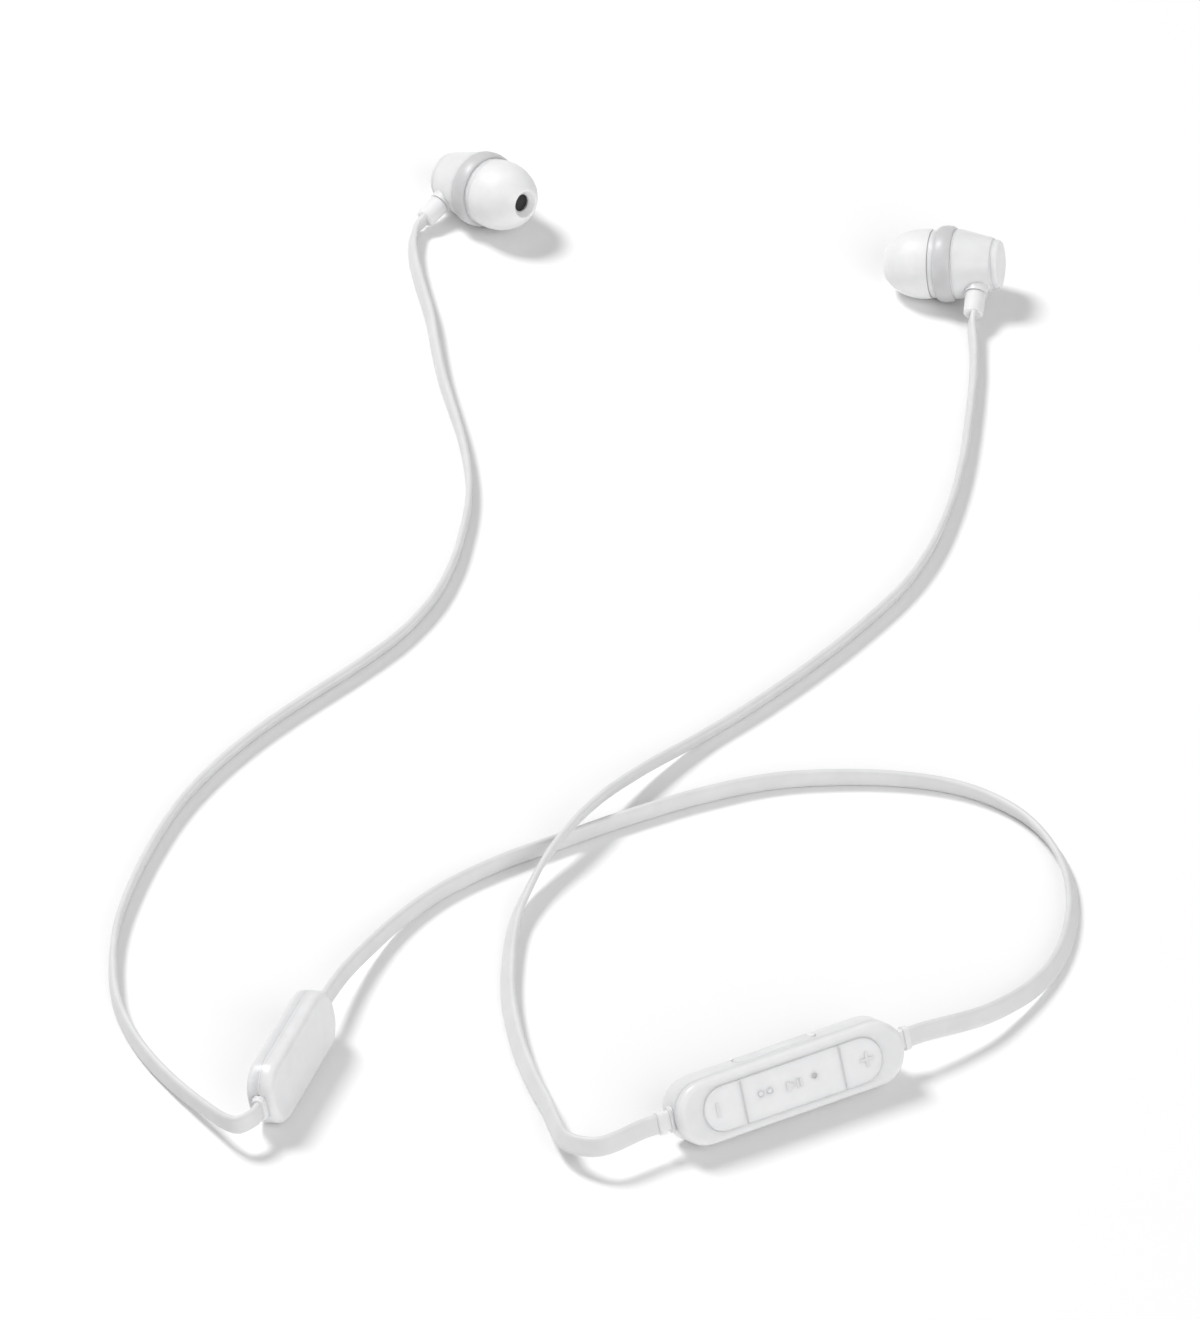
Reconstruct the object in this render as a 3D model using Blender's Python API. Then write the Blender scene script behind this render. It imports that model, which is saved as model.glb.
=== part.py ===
"""Wireless neckband earphones with flat cords.

A remote with three keys and a battery pod sit on a flat neck cord. Each of them also carries a flat
cord that ends in an in-ear bud. The set lies on a surface with its flat cords standing on edge.
Metres, +Z up. The origin is at the centre of the set, on the surface.
"""

import math

import bmesh
import bpy
from mathutils import Euler, Matrix, Vector

MM = 0.001
DEG = math.pi / 180.0
AHEAD = 1
BACKWARD = -1

# Clearances.
SHELL_GAP = 0.2 * MM  # between two fixed pieces that mate out of sight
SEAM_GAP = 0.06 * MM  # where the joint between two fixed pieces shows
KEY_GAP = 0.1 * MM  # around a key, and between neighbouring keys
SEAT_GAP = 0.3 * MM  # between faces that meet end to end
CORD_END_GAP = 0.4 * MM  # between a cord and the boot that it leaves
SOLDER_GAP = 0.1 * MM  # under a component on a board

# Flat cord.
CORD_WIDTH = 3.4 * MM
CORD_THICKNESS = 1.15 * MM
CORD_MAX_SPACING = 9.0 * MM  # between two points of a cord where it runs straight
CORD_MAX_TURN = 20.0 * DEG  # between two points of a cord where it bends

# Remote: X along it, Y across it, Z out of its key face.
REMOTE_LENGTH = 42.0 * MM
REMOTE_WIDTH = 11.0 * MM
REMOTE_THICKNESS = 7.4 * MM
REMOTE_CORNER = 5.1 * MM
REMOTE_BACK_FILLET = 1.2 * MM
REMOTE_FACE_FILLET = 0.9 * MM
REMOTE_WALL = 1.0 * MM
REMOTE_FACE_WALL = 0.9 * MM
PARTING_OVER_COVER = 1.2 * MM  # from the charging cover's upper edge to the parting line
LIP_DEPTH = 0.7 * MM
LIP_WALL = 0.35 * MM
INNER_FLOOR_CHAMFER = 0.5 * MM
INNER_FACE_CHAMFER = 0.15 * MM

# Keys.
KEY_FLANGE = 0.3 * MM
PANEL_LENGTH = REMOTE_LENGTH - 2 * 4.3 * MM
PANEL_WIDTH = REMOTE_WIDTH - 2 * (REMOTE_WALL + KEY_FLANGE + SHELL_GAP)
PANEL_CORNER = REMOTE_CORNER - 1.2 * MM
PANEL_PROUD = 0.15 * MM
PANEL_ROUNDING = 0.2 * MM
KEY_SEAM_AT = 9.25 * MM  # the two seams lie this far each side of the middle
KEY_FLANGE_THICKNESS = 0.4 * MM
OUTER_KEY_MIDDLE = (PANEL_LENGTH / 2 + KEY_SEAM_AT) / 2
MINUS_KEY_CENTRE = -OUTER_KEY_MIDDLE - 1.1 * MM
PLUS_KEY_CENTRE = OUTER_KEY_MIDDLE + 0.75 * MM
MIDDLE_HOLES_Y = 0.3 * MM
LIGHT_AT = (-6.0 * MM, -4.3 * MM)
LIGHT_RADIUS = 0.4 * MM
LIGHT_HOLE_RADIUS = 0.5 * MM
LIGHT_RECESS = 0.03 * MM
LIGHT_BAR = 0.3 * MM  # thickness of the bar that joins the two pegs
LIGHT_CHIP_SIZE = (1.0 * MM, 0.5 * MM, 0.3 * MM)
MIC_AT = 4.0 * MM
MIC_HOLE_RADIUS = 0.5 * MM
MIC_SCREEN = (0.9 * MM, 0.1 * MM)  # radius and thickness

# Electronics of the remote.
BOARD_THICKNESS = 0.8 * MM
BOARD_MARGIN = 0.5 * MM  # between the board's long edge and the wall
BOARD_END_ROOM = 2.5 * MM  # between the board's end and the wall, for a boot's flange
BOARD_LENGTH = REMOTE_LENGTH - 2 * REMOTE_WALL - 2 * BOARD_END_ROOM
BOARD_WIDTH = REMOTE_WIDTH - 2 * REMOTE_WALL - 2 * BOARD_MARGIN
KEY_TRAVEL_ROOM = 0.3 * MM  # from a key down to its switch
SWITCH_SIZE = (3.0 * MM, 2.6 * MM, 0.55 * MM)
SWITCH_PLUNGER_RADIUS = 0.65 * MM
SWITCH_PLUNGER_HEIGHT = 0.2 * MM
MIC_SIZE = (1.85 * MM, 2.75 * MM, 0.5 * MM)
CHIP_SIZE = (4.0 * MM, 4.0 * MM, 0.8 * MM)
ANTENNA_SIZE = (1.6 * MM, 3.2 * MM, 1.1 * MM)
ANTENNA_AT = -BOARD_LENGTH / 2 + 2.0 * MM
CHIP_AT = ANTENNA_AT + 5.5 * MM
CHARGE_CHIP_SIZE = (3.0 * MM, 3.0 * MM, 0.75 * MM)
CHARGE_CHIP_AT = 8.0 * MM
CRYSTAL_SIZE = (1.6 * MM, 2.0 * MM, 0.5 * MM)
CRYSTAL_AT = LIGHT_AT[0] - 3.3 * MM
POST_RADIUS = 0.6 * MM
POST_AT = (BOARD_LENGTH / 2 - 4.6 * MM, BOARD_WIDTH / 2 - 1.4 * MM)
POST_STEPS = 8

# Charging socket and its cover, in the upper long edge.
SOCKET_SIZE = (7.4 * MM, 5.0 * MM, 2.35 * MM)
SOCKET_WALL = 0.25 * MM
SOCKET_TONGUE = (3.9 * MM, 3.3 * MM, 0.45 * MM)
TONGUE_FOOT = (5.6 * MM, 0.8 * MM, 1.4 * MM)  # the moulded block that holds the tongue
PORT_CLEARANCE = 0.2 * MM
COVER_GAP = 0.13 * MM
COVER_LENGTH = 15.2 * MM
COVER_WIDTH = 3.0 * MM
COVER_THICKNESS = 0.42 * MM
COVER_EDGE = 0.1 * MM
COVER_PLUG = (6.4 * MM, 1.5 * MM, 0.8 * MM)
COVER_PLUG_CHAMFER = 0.15 * MM
COVER_LIP = (1.1 * MM, 2.0 * MM, 0.3 * MM)
COVER_LIP_FROM_END = 0.8 * MM

# Boots where the cords enter the remote and the pod.
BOOT_TIP_WIDTH = CORD_WIDTH + 0.6 * MM
BOOT_TIP_THICKNESS = CORD_THICKNESS + 0.85 * MM
BOOT_WIDTH = BOOT_TIP_WIDTH + 0.4 * MM
BOOT_THICKNESS = BOOT_TIP_THICKNESS + 0.7 * MM
BOOT_CORNER = 0.8  # as a share of its half thickness
BOOT_NECK = 0.5 * MM  # how much the neck in the wall is slimmer than the boot, each side
BOOT_FLANGE = 0.7 * MM
BOOT_FLANGE_SETBACK = 0.6 * MM  # least distance from the wall's inside at its middle
BOOT_GROOVE = 0.4 * MM
BOOT_GROOVE_SPAN = (0.16, 0.55)  # as shares of the body
BOOT_END_EDGE = 0.15 * MM
BOOT_END_SPAN = 0.93
REMOTE_BOOT_LENGTH = 2.6 * MM
POD_BOOT_LENGTH = 0.9 * MM

# Battery pod: X along it, Y across it, Z out of its broad face.
POD_LENGTH = 28.0 * MM
POD_WIDTH = 11.4 * MM
POD_THICKNESS = 5.0 * MM
POD_CORNER = 5.0 * MM
POD_FILLET = 1.2 * MM
POD_WALL = 0.8 * MM
POD_END_ROOM = (3.6 * MM, 2.1 * MM)  # inside the walls, at the ear end and at the neck end
CELL_BOARD_SIZE = (4.4 * MM, POD_WIDTH - 2 * POD_WALL - 2 * 1.2 * MM, 0.8 * MM)
CELL_SIZE = (
    POD_LENGTH - 2 * POD_WALL - sum(POD_END_ROOM) - SEAT_GAP - CELL_BOARD_SIZE[0],
    POD_WIDTH - 2 * POD_WALL - 2 * 0.3 * MM,
    POD_THICKNESS - 2 * POD_WALL - 2 * 0.2 * MM,
)
CELL_CHAMFER = 0.5 * MM
CELL_AT = -POD_LENGTH / 2 + POD_WALL + POD_END_ROOM[0] + CELL_SIZE[0] / 2

# Earbud: Z along its axis towards the ear tip, with the stem along -Y. Stations are measured
# from the middle of the trim ring.
RING_HALF = 1.5 * MM
RING_RADIUS = 6.8 * MM
RING_BORE = RING_RADIUS - 1.25 * MM
RING_BULGE = 0.4 * MM
HOUSING_FRONT_RADIUS = RING_RADIUS - 0.6 * MM
HOUSING_REAR_RADIUS = 4.7 * MM
HOUSING_WALL = 0.85 * MM
HOUSING_LENGTH = 6.75 * MM
HOUSING_EDGE = 0.15 * MM
HOUSING_BAND = 0.9 * MM  # length of the nearly straight band behind the ring
HOUSING_BAND_TAPER = 0.05 * MM
HOUSING_REAR_EDGE = 0.2 * MM
CAP_RADIUS = HOUSING_REAR_RADIUS - 0.35 * MM
CAP_LENGTH = 1.3 * MM
CAP_STEP = 0.75 * MM  # from the cap's edge in to the housing's rear opening
CAP_EDGE = 0.1 * MM
CAP_SPIGOT_LENGTH = 0.9 * MM
CAP_DOME = ((0.55, 0.0), (0.85, 0.25 * MM), (0.97, 0.7 * MM))  # share of its length, and inset
STEM_AT = -5.65 * MM
STEM_RADIUS = CORD_WIDTH / 2 + 0.15 * MM
STEM_EDGE = 0.1 * MM
STEM_LENGTH = 4.3 * MM
STEM_BOSS_RADIUS = STEM_RADIUS + 0.25 * MM
STEM_BOSS_HEIGHT = 0.7 * MM
STEM_BOSS_SINK = 0.1 * MM
STEM_NECK_RADIUS = 1.15 * MM
STEM_FLANGE_RADIUS = 1.65 * MM
STEM_FLANGE_THICKNESS = 0.6 * MM
NOZZLE_FLANGE_RADIUS = RING_RADIUS - 0.8 * MM
NOZZLE_FLANGE_THICKNESS = 1.3 * MM
NOZZLE_RADIUS = 2.25 * MM
NOZZLE_EDGE = 0.15 * MM
NOZZLE_SHOULDER = (0.75 * MM, 2.1 * MM)  # forward of the flange, and in from its edge
NOZZLE_NECK = 1.9 * MM  # from the flange to where the nozzle is slim
NOZZLE_BARB_RADIUS = 2.6 * MM
NOZZLE_BARB_LENGTH = 1.1 * MM
NOZZLE_BARB_NOSE = 0.4 * MM
NOZZLE_BORE = 1.7 * MM
NOZZLE_FUNNEL = (0.4 * MM, 0.8 * MM)  # from the flange's back, and back from the slim neck
NOZZLE_END = 9.8 * MM
SPIGOT_WALL = 0.6 * MM
DRIVER_WALL = 0.5 * MM
DRIVER_BACK = -1.6 * MM
DRIVER_FRONT = 1.0 * MM
DRIVER_RADIUS = RING_BORE - 2 * SHELL_GAP - SPIGOT_WALL
MAGNET_RADIUS = DRIVER_RADIUS - DRIVER_WALL - 1.35 * MM
MAGNET_BACK = -2.0 * MM
MAGNET_FRONT = -0.3 * MM
FILM_SECTION = (  # height, and radius as a share of the rim
    (0.2 * MM, 0.0),
    (0.0, 0.5),
    (0.0, 1.0),
    (0.2 * MM, 1.0),
    (0.25 * MM, 0.55),
    (0.9 * MM, 0.3),
    (1.05 * MM, 0.0),
)
MESH_THICKNESS = 0.15 * MM
MESH_RECESS = 0.15 * MM
TIP_RADIUS = 6.2 * MM
TIP_WALL = 0.5 * MM
TIP_START = RING_HALF + SEAM_GAP + NOZZLE_FLANGE_THICKNESS + SEAT_GAP
TIP_WIDEST = TIP_START + 1.0 * MM
TIP_SKIRT = (0.1 * MM, 0.2 * MM)  # how far the skirt's edge draws in, inside and outside
TIP_DOME = 7.6 * MM  # from the widest station to where the dome would close
TIP_OPENING = 2.3 * MM
TIP_RIM = 0.4 * MM
TIP_RIM_ROUND = 0.12 * MM
TIP_BORE_CLEARANCE = 0.2 * MM
TIP_SLEEVE_WALL = 0.6 * MM
TIP_SLEEVE_START = 5.0 * MM

# Facets.
CURVE_STEPS = 40
CORNER_STEPS = 6
FILLET_STEPS = 3
TIP_STEPS = 5
FINE_TURN = 24
PLAIN_TURN = 16
HIDDEN_TURN = 12
BOSS_TURN = 16
SMALL_TURN = 12
HOLE_TURN = 10
SMOOTH_ANGLE = 35 * DEG

# Where the modules lie: position in plan, heading in plan, and how far each leans or tips.
REMOTE_PLACE = (23.35 * MM, -121.6 * MM)
REMOTE_HEADING = 28.4 * DEG
REMOTE_LEAN = 25.0 * DEG
POD_PLACE = (-57.45 * MM, -115.05 * MM)
POD_HEADING = 70.0 * DEG
POD_LEAN = 12.0 * DEG
LEFT_BUD_PLACE = (-27.4 * MM, 125.3 * MM)
LEFT_BUD_HEADING = -46.0 * DEG
LEFT_BUD_PITCH = 12.0 * DEG
LEFT_STEM_DROOP = 18.0 * DEG  # how far the stem points below the horizontal
RIGHT_BUD_PLACE = (54.6 * MM, 102.9 * MM)
RIGHT_BUD_HEADING = 169.0 * DEG
RIGHT_BUD_PITCH = -7.5 * DEG
RIGHT_STEM_DROOP = 24.0 * DEG
REMOTE_STRAIGHT = 2.0 * MM  # the cord leaves a boot straight for this far
POD_STRAIGHT = 1.0 * MM
BUD_STRAIGHT = 1.5 * MM

# Free routes of the cords between their straight exits: x, y and z in millimetres, and the lean
# of the flat cord in degrees, towards the right of the way it runs.
LEFT_ROUTE = (
    (-39.8, 116.8, 1.8, -14),
    (-39.7, 112.2, 1.75, -14),
    (-38.9, 106.4, 1.75, -14),
    (-37.6, 99.5, 1.75, -13),
    (-36.5, 93.5, 1.75, -12),
    (-35.6, 85.7, 1.75, -10),
    (-34.3, 76.5, 1.75, -8),
    (-32.7, 68.5, 1.75, -4),
    (-30.9, 59.5, 1.75, 0),
    (-29.6, 49.5, 1.75, 0),
    (-29.4, 40.5, 1.75, 0),
    (-30.5, 31.0, 1.75, -4),
    (-32.3, 22.0, 1.75, -10),
    (-35.5, 12.7, 1.75, -16),
    (-41.1, 2.9, 1.7, -20),
    (-49.3, -6.8, 1.7, -23),
    (-57.7, -15.6, 1.7, -24),
    (-65.2, -24.1, 1.7, -23),
    (-71.7, -33.0, 1.7, -20),
    (-77.5, -43.2, 1.7, -16),
    (-81.9, -54.4, 1.75, -12),
    (-85.4, -66.5, 1.75, -9),
    (-87.3, -76.5, 1.75, -7),
    (-87.7, -86.0, 1.75, -6),
    (-86.7, -96.0, 1.75, -6),
    (-84.0, -104.6, 1.75, -6),
    (-80.7, -111.4, 1.85, -5),
    (-77.1, -117.3, 2.2, -2),
    (-73.6, -122.5, 2.9, 2),
    (-70.6, -126.9, 3.8, 4),
    (-68.2, -130.2, 4.6, 2),
    (-65.8, -132.0, 5.3, -4),
)
NECK_ROUTE = (
    (-49.0, -91.7, 4.6, -11),
    (-45.0, -83.2, 3.1, -9),
    (-40.1, -74.9, 2.1, -6),
    (-33.5, -67.0, 1.75, -3),
    (-23.5, -59.2, 1.75, 0),
    (-13.4, -53.4, 1.75, 0),
    (-3.3, -47.7, 1.75, 0),
    (10.2, -41.2, 1.75, 0),
    (22.0, -37.3, 1.75, 0),
    (33.8, -36.1, 1.75, 3),
    (44.0, -36.6, 1.75, 7),
    (52.4, -38.5, 1.75, 12),
    (59.0, -41.8, 1.75, 17),
    (64.8, -46.9, 1.7, 22),
    (68.9, -53.6, 1.7, 26),
    (71.4, -61.1, 1.65, 28),
    (72.2, -69.1, 1.65, 28),
    (71.3, -78.4, 1.65, 28),
    (68.9, -86.3, 1.8, 27),
    (65.4, -92.7, 2.3, 26),
    (61.2, -98.0, 3.2, 25),
    (56.1, -103.0, 4.4, 25),
)
RIGHT_ROUTE = (
    (-6.4, -137.9, 5.7, 25),
    (-10.1, -136.9, 5.0, 24),
    (-12.6, -134.5, 4.3, 23),
    (-13.9, -130.5, 3.5, 23),
    (-15.4, -124.0, 2.6, 25),
    (-17.8, -116.3, 1.9, 29),
    (-20.1, -107.2, 1.6, 33),
    (-21.8, -95.5, 1.55, 35),
    (-21.9, -85.0, 1.6, 34),
    (-20.8, -74.4, 1.9, 30),
    (-18.4, -66.8, 2.9, 26),
    (-15.9, -61.2, 4.2, 22),
    (-12.2, -54.9, 5.4, 20),
    (-6.7, -46.1, 5.2, 20),
    (0.9, -35.7, 3.4, 20),
    (10.2, -25.5, 1.8, 20),
    (18.8, -17.0, 1.7, 20),
    (27.4, -7.6, 1.7, 20),
    (36.0, 2.9, 1.7, 19),
    (44.8, 15.5, 1.7, 17),
    (50.1, 26.7, 1.75, 15),
    (53.8, 39.5, 1.75, 14),
    (56.2, 52.3, 1.75, 13),
    (57.8, 66.7, 1.75, 12),
    (58.7, 78.5, 1.75, 11),
    (58.8, 85.6, 1.85, 10),
)

COLOURS = {
    "white_casing": ((0.84, 0.84, 0.85), 0.32, 0.0),
    "soft_key": ((0.82, 0.82, 0.83), 0.45, 0.0),
    "cord_jacket": ((0.80, 0.80, 0.81), 0.5, 0.0),
    "boot_elastomer": ((0.80, 0.80, 0.81), 0.55, 0.0),
    "trim_grey": ((0.60, 0.60, 0.61), 0.4, 0.0),
    "tip_silicone": ((0.86, 0.86, 0.86), 0.4, 0.0),
    "mesh_black": ((0.02, 0.02, 0.02), 0.6, 0.3),
    "board_green": ((0.03, 0.18, 0.07), 0.4, 0.0),
    "component_black": ((0.03, 0.03, 0.03), 0.5, 0.0),
    "bare_metal": ((0.70, 0.70, 0.70), 0.3, 1.0),
    "clear_guide": ((0.85, 0.85, 0.85), 0.2, 0.0),
    "cell_pouch": ((0.65, 0.66, 0.68), 0.35, 0.8),
    "driver_film": ((0.25, 0.22, 0.16), 0.3, 0.0),
}


def clear_scene():
    for item in list(bpy.data.objects):
        bpy.data.objects.remove(item, do_unlink=True)


def material(name):
    """The Principled material of that name, made on first use."""
    found = bpy.data.materials.get(name)
    if found:
        return found
    colour, roughness, metallic = COLOURS[name]
    made = bpy.data.materials.new(name)
    made.use_nodes = True
    shader = made.node_tree.nodes["Principled BSDF"]
    shader.inputs["Base Color"].default_value = (*colour, 1.0)
    shader.inputs["Roughness"].default_value = roughness
    shader.inputs["Metallic"].default_value = metallic
    return made


def frame(name, place, height, rotation):
    """An empty that carries one module."""
    empty = bpy.data.objects.new(name, None)
    empty.matrix_world = Matrix.LocRotScale(Vector((*place, height)), rotation, None)
    empty.empty_display_size = 5 * MM
    bpy.context.collection.objects.link(empty)
    return empty


def piece(name, form, finish, parent, at=(0, 0, 0), turn=(0, 0, 0)):
    """One named sub-part from a bmesh, placed in its module's frame."""
    mesh = bpy.data.meshes.new(name)
    bmesh.ops.recalc_face_normals(form, faces=form.faces)
    form.to_mesh(mesh)
    form.free()
    mesh.shade_smooth()
    mesh.set_sharp_from_angle(angle=SMOOTH_ANGLE)
    mesh.materials.append(material(finish))
    made = bpy.data.objects.new(name, mesh)
    bpy.context.collection.objects.link(made)
    made.parent = parent
    made.location = at
    made.rotation_euler = turn
    return made


def combine(target, forms, operation):
    """Cuts forms out of the target or joins them to it. The forms are in the target's own space."""
    tools = []
    for form in forms:
        tool = piece("tool", form, "white_casing", target.parent, target.location, target.rotation_euler)
        tool.hide_render = True
        tool.display_type = "WIRE"
        tools.append(tool)
        step = target.modifiers.new("combine", "BOOLEAN")
        step.operation = operation
        step.solver = "EXACT"
        step.object = tool
    bpy.context.view_layer.update()
    result = target.evaluated_get(bpy.context.evaluated_depsgraph_get())
    mesh = bpy.data.meshes.new_from_object(result)
    target.modifiers.clear()
    target.data = mesh
    mesh.name = target.name
    mesh.shade_smooth()
    mesh.set_sharp_from_angle(angle=SMOOTH_ANGLE)
    for tool in tools:
        bpy.data.objects.remove(tool, do_unlink=True)


def rounded_outline(length, width, radius, steps=CORNER_STEPS):
    """A rounded rectangle about the origin, anticlockwise."""
    radius = min(radius, 0.499 * length, 0.499 * width)
    points = []
    corners = ((1, -1, -90), (1, 1, 0), (-1, 1, 90), (-1, -1, 180))
    for side_x, side_y, start in corners:
        centre_x = side_x * (length / 2 - radius)
        centre_y = side_y * (width / 2 - radius)
        for step in range(steps + 1):
            angle = (start + 90 * step / steps) * DEG
            points.append((centre_x + radius * math.cos(angle), centre_y + radius * math.sin(angle)))
    return points


def loft(rings):
    """A closed solid through rings of 3-D points, capped at both ends."""
    form = bmesh.new()
    loops = [[form.verts.new(point) for point in ring] for ring in rings]
    count = len(loops[0])
    for low, high in zip(loops, loops[1:]):
        for i in range(count):
            j = (i + 1) % count
            form.faces.new((low[i], low[j], high[j], high[i]))
    form.faces.new(loops[0])
    form.faces.new(loops[-1])
    return form


def outline_loft(length, width, radius, sections, steps=CORNER_STEPS):
    """A loft of one rounded outline through sections of (inset, height)."""
    rings = []
    for inset, height in sections:
        outline = rounded_outline(length - 2 * inset, width - 2 * inset, radius - inset, steps)
        rings.append([(x, y, height) for x, y in outline])
    return loft(rings)


def fillet(wall_inset, edge_height, radius, direction, steps=FILLET_STEPS):
    """Sections that round an edge: from the side wall, over the edge, onto the flat face."""
    sections = []
    for step in range(steps + 1):
        angle = 90 * DEG * step / steps
        inset = wall_inset + radius * (1 - math.cos(angle))
        height = edge_height - direction * radius * (1 - math.sin(angle))
        sections.append((inset, height))
    return sections


def block(size, centre=(0, 0, 0), chamfer=0.0):
    """A box, its edges chamfered where a chamfer is given."""
    form = bmesh.new()
    bmesh.ops.create_cube(form, size=1.0)
    bmesh.ops.scale(form, vec=size, verts=form.verts)
    bmesh.ops.translate(form, vec=centre, verts=form.verts)
    if chamfer:
        bmesh.ops.bevel(form, geom=form.edges[:], offset=chamfer, segments=1, affect="EDGES", profile=0.5)
    return form


def rod(radius, start, end, steps=SMALL_TURN):
    """A round bar between two points."""
    start, end = Vector(start), Vector(end)
    form = bmesh.new()
    bmesh.ops.create_cone(
        form,
        cap_ends=True,
        segments=steps,
        radius1=radius,
        radius2=radius,
        depth=(end - start).length,
    )
    turn = Vector((0, 0, 1)).rotation_difference(end - start).to_matrix()
    bmesh.ops.rotate(form, matrix=turn, verts=form.verts)
    bmesh.ops.translate(form, vec=(start + end) / 2, verts=form.verts)
    return form


def turned(profile, steps):
    """A solid of revolution about Z from (station, radius) points. A profile that doesn't start
    and end on the axis is closed on itself, which makes a ring."""
    form = bmesh.new()
    points = [form.verts.new((radius, 0, station)) for station, radius in profile]
    edges = [form.edges.new(pair) for pair in zip(points, points[1:])]
    if profile[0][1] > 0 or profile[-1][1] > 0:
        edges.append(form.edges.new((points[-1], points[0])))
    bmesh.ops.spin(
        form,
        geom=points + edges,
        cent=(0, 0, 0),
        axis=(0, 0, 1),
        angle=2 * math.pi,
        steps=steps,
        use_merge=True,
    )
    bmesh.ops.remove_doubles(form, verts=form.verts, dist=0.001 * MM)
    return form


def lowest_reach(width, thickness, rounding, lean):
    """Height of the centre of a leaning rounded bar above the surface that it rests on."""
    across = (width / 2 - rounding) * math.cos(lean)
    through = (thickness / 2 - rounding) * math.sin(lean)
    return across + through + rounding


# --------------------------------------------------------------------------- boots and cords


def flange_setback(width, corner, wall):
    """How far a boot's flange lies inside a housing's end wall, which may curve in beside it."""
    radius = min(corner, 0.499 * width) - wall
    past_flat = BOOT_WIDTH / 2 - (width / 2 - wall - radius)
    curve = radius - math.sqrt(radius**2 - max(past_flat, 0.0) ** 2)
    return max(BOOT_FLANGE_SETBACK, curve + SEAM_GAP)


def cord_boot(name, parent, wall_outside, wall, setback, length, side, ribbed):
    """A flat strain relief: flange inside the wall, neck through it, body outside."""
    inside = wall_outside - wall - setback
    outside = wall_outside + SEAM_GAP
    end = wall_outside + length
    half_w, half_t = BOOT_WIDTH / 2, BOOT_THICKNESS / 2
    neck_w, neck_t = half_w - BOOT_NECK, half_t - BOOT_NECK

    def body(share, groove=0.0):
        """The body that far from the wall to its end, with a groove of that depth."""
        across = half_w + (BOOT_TIP_WIDTH / 2 - half_w) * share - groove
        through = half_t + (BOOT_TIP_THICKNESS / 2 - half_t) * share - groove
        return (outside + (end - outside) * share, across, through)

    stations = [(inside - BOOT_FLANGE, half_w, half_t), (inside, half_w, half_t)]
    stations += [(inside, neck_w, neck_t), (outside, neck_w, neck_t), body(0.0)]
    if ribbed:
        start, stop = BOOT_GROOVE_SPAN
        stations += [body(start), body(start, BOOT_GROOVE), body(stop, BOOT_GROOVE), body(stop)]
    stations += [body(BOOT_END_SPAN), body(1.0, BOOT_END_EDGE)]
    rings = []
    for station, across, through in stations:
        outline = rounded_outline(2 * through, 2 * across, BOOT_CORNER * through, 2)
        rings.append([(x, y, station) for x, y in outline])
    return piece(name, loft(rings), "boot_elastomer", parent, turn=(0, side * 90 * DEG, 0))


def boot_opening(wall_outside, wall, side):
    """The hole that a boot's neck passes through."""
    width = BOOT_WIDTH - 2 * BOOT_NECK + 2 * SHELL_GAP
    thickness = BOOT_THICKNESS - 2 * BOOT_NECK + 2 * SHELL_GAP
    return block((4 * wall, width, thickness), (side * (wall_outside - wall / 2), 0, 0))


def exit_from(parent, local, direction, straight, lean):
    """A cord's end point at a boot and a second point straight out of it, each with its lean."""
    matrix = parent.matrix_world
    out = (matrix.to_3x3() @ Vector(direction)).normalized()
    start = matrix @ Vector(local) + out * CORD_END_GAP
    return [(start, lean), (start + out * straight, lean)]


def fine_line(points, steps=CURVE_STEPS):
    """Many points along a centripetal Catmull-Rom curve through 4-D points."""
    ends = [2 * points[0] - points[1]] + points + [2 * points[-1] - points[-2]]
    fine = []
    for before, start, end, after in zip(ends, ends[1:], ends[2:], ends[3:]):
        knots = [0.0]
        for a, b in ((before, start), (start, end), (end, after)):
            knots.append(knots[-1] + math.sqrt((b.xyz - a.xyz).length))
        t0, t1, t2, t3 = knots
        for step in range(steps):
            t = t1 + (t2 - t1) * step / steps
            a1 = before.lerp(start, (t - t0) / (t1 - t0))
            a2 = start.lerp(end, (t - t1) / (t2 - t1))
            a3 = end.lerp(after, (t - t2) / (t3 - t2))
            b1 = a1.lerp(a2, (t - t0) / (t2 - t0))
            b2 = a2.lerp(a3, (t - t1) / (t3 - t1))
            fine.append(b1.lerp(b2, (t - t1) / (t2 - t1)))
    fine.append(points[-1])
    return fine


def smooth_line(points):
    """Points along a smooth curve, close together where it bends and wide apart where it's straight.
    The straight exits at both ends keep both of their points."""
    whole = fine_line(points)
    fine = whole[CURVE_STEPS:-CURVE_STEPS]
    line = [whole[0], fine[0]]
    loads = []
    for before, here, after in zip(fine, fine[1:], fine[2:]):
        one, two = here.xyz - before.xyz, after.xyz - here.xyz
        loads.append(max(one.length / CORD_MAX_SPACING, one.angle(two) / CORD_MAX_TURN))
    share = sum(loads) / math.ceil(sum(loads))
    load = 0.0
    for here, gain in zip(fine[1:], loads):
        load += gain
        if load >= share and (fine[-1].xyz - here.xyz).length > 0.3 * CORD_MAX_SPACING:
            line.append(here)
            load -= share
    return line + [fine[-1], whole[-1]]


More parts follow.
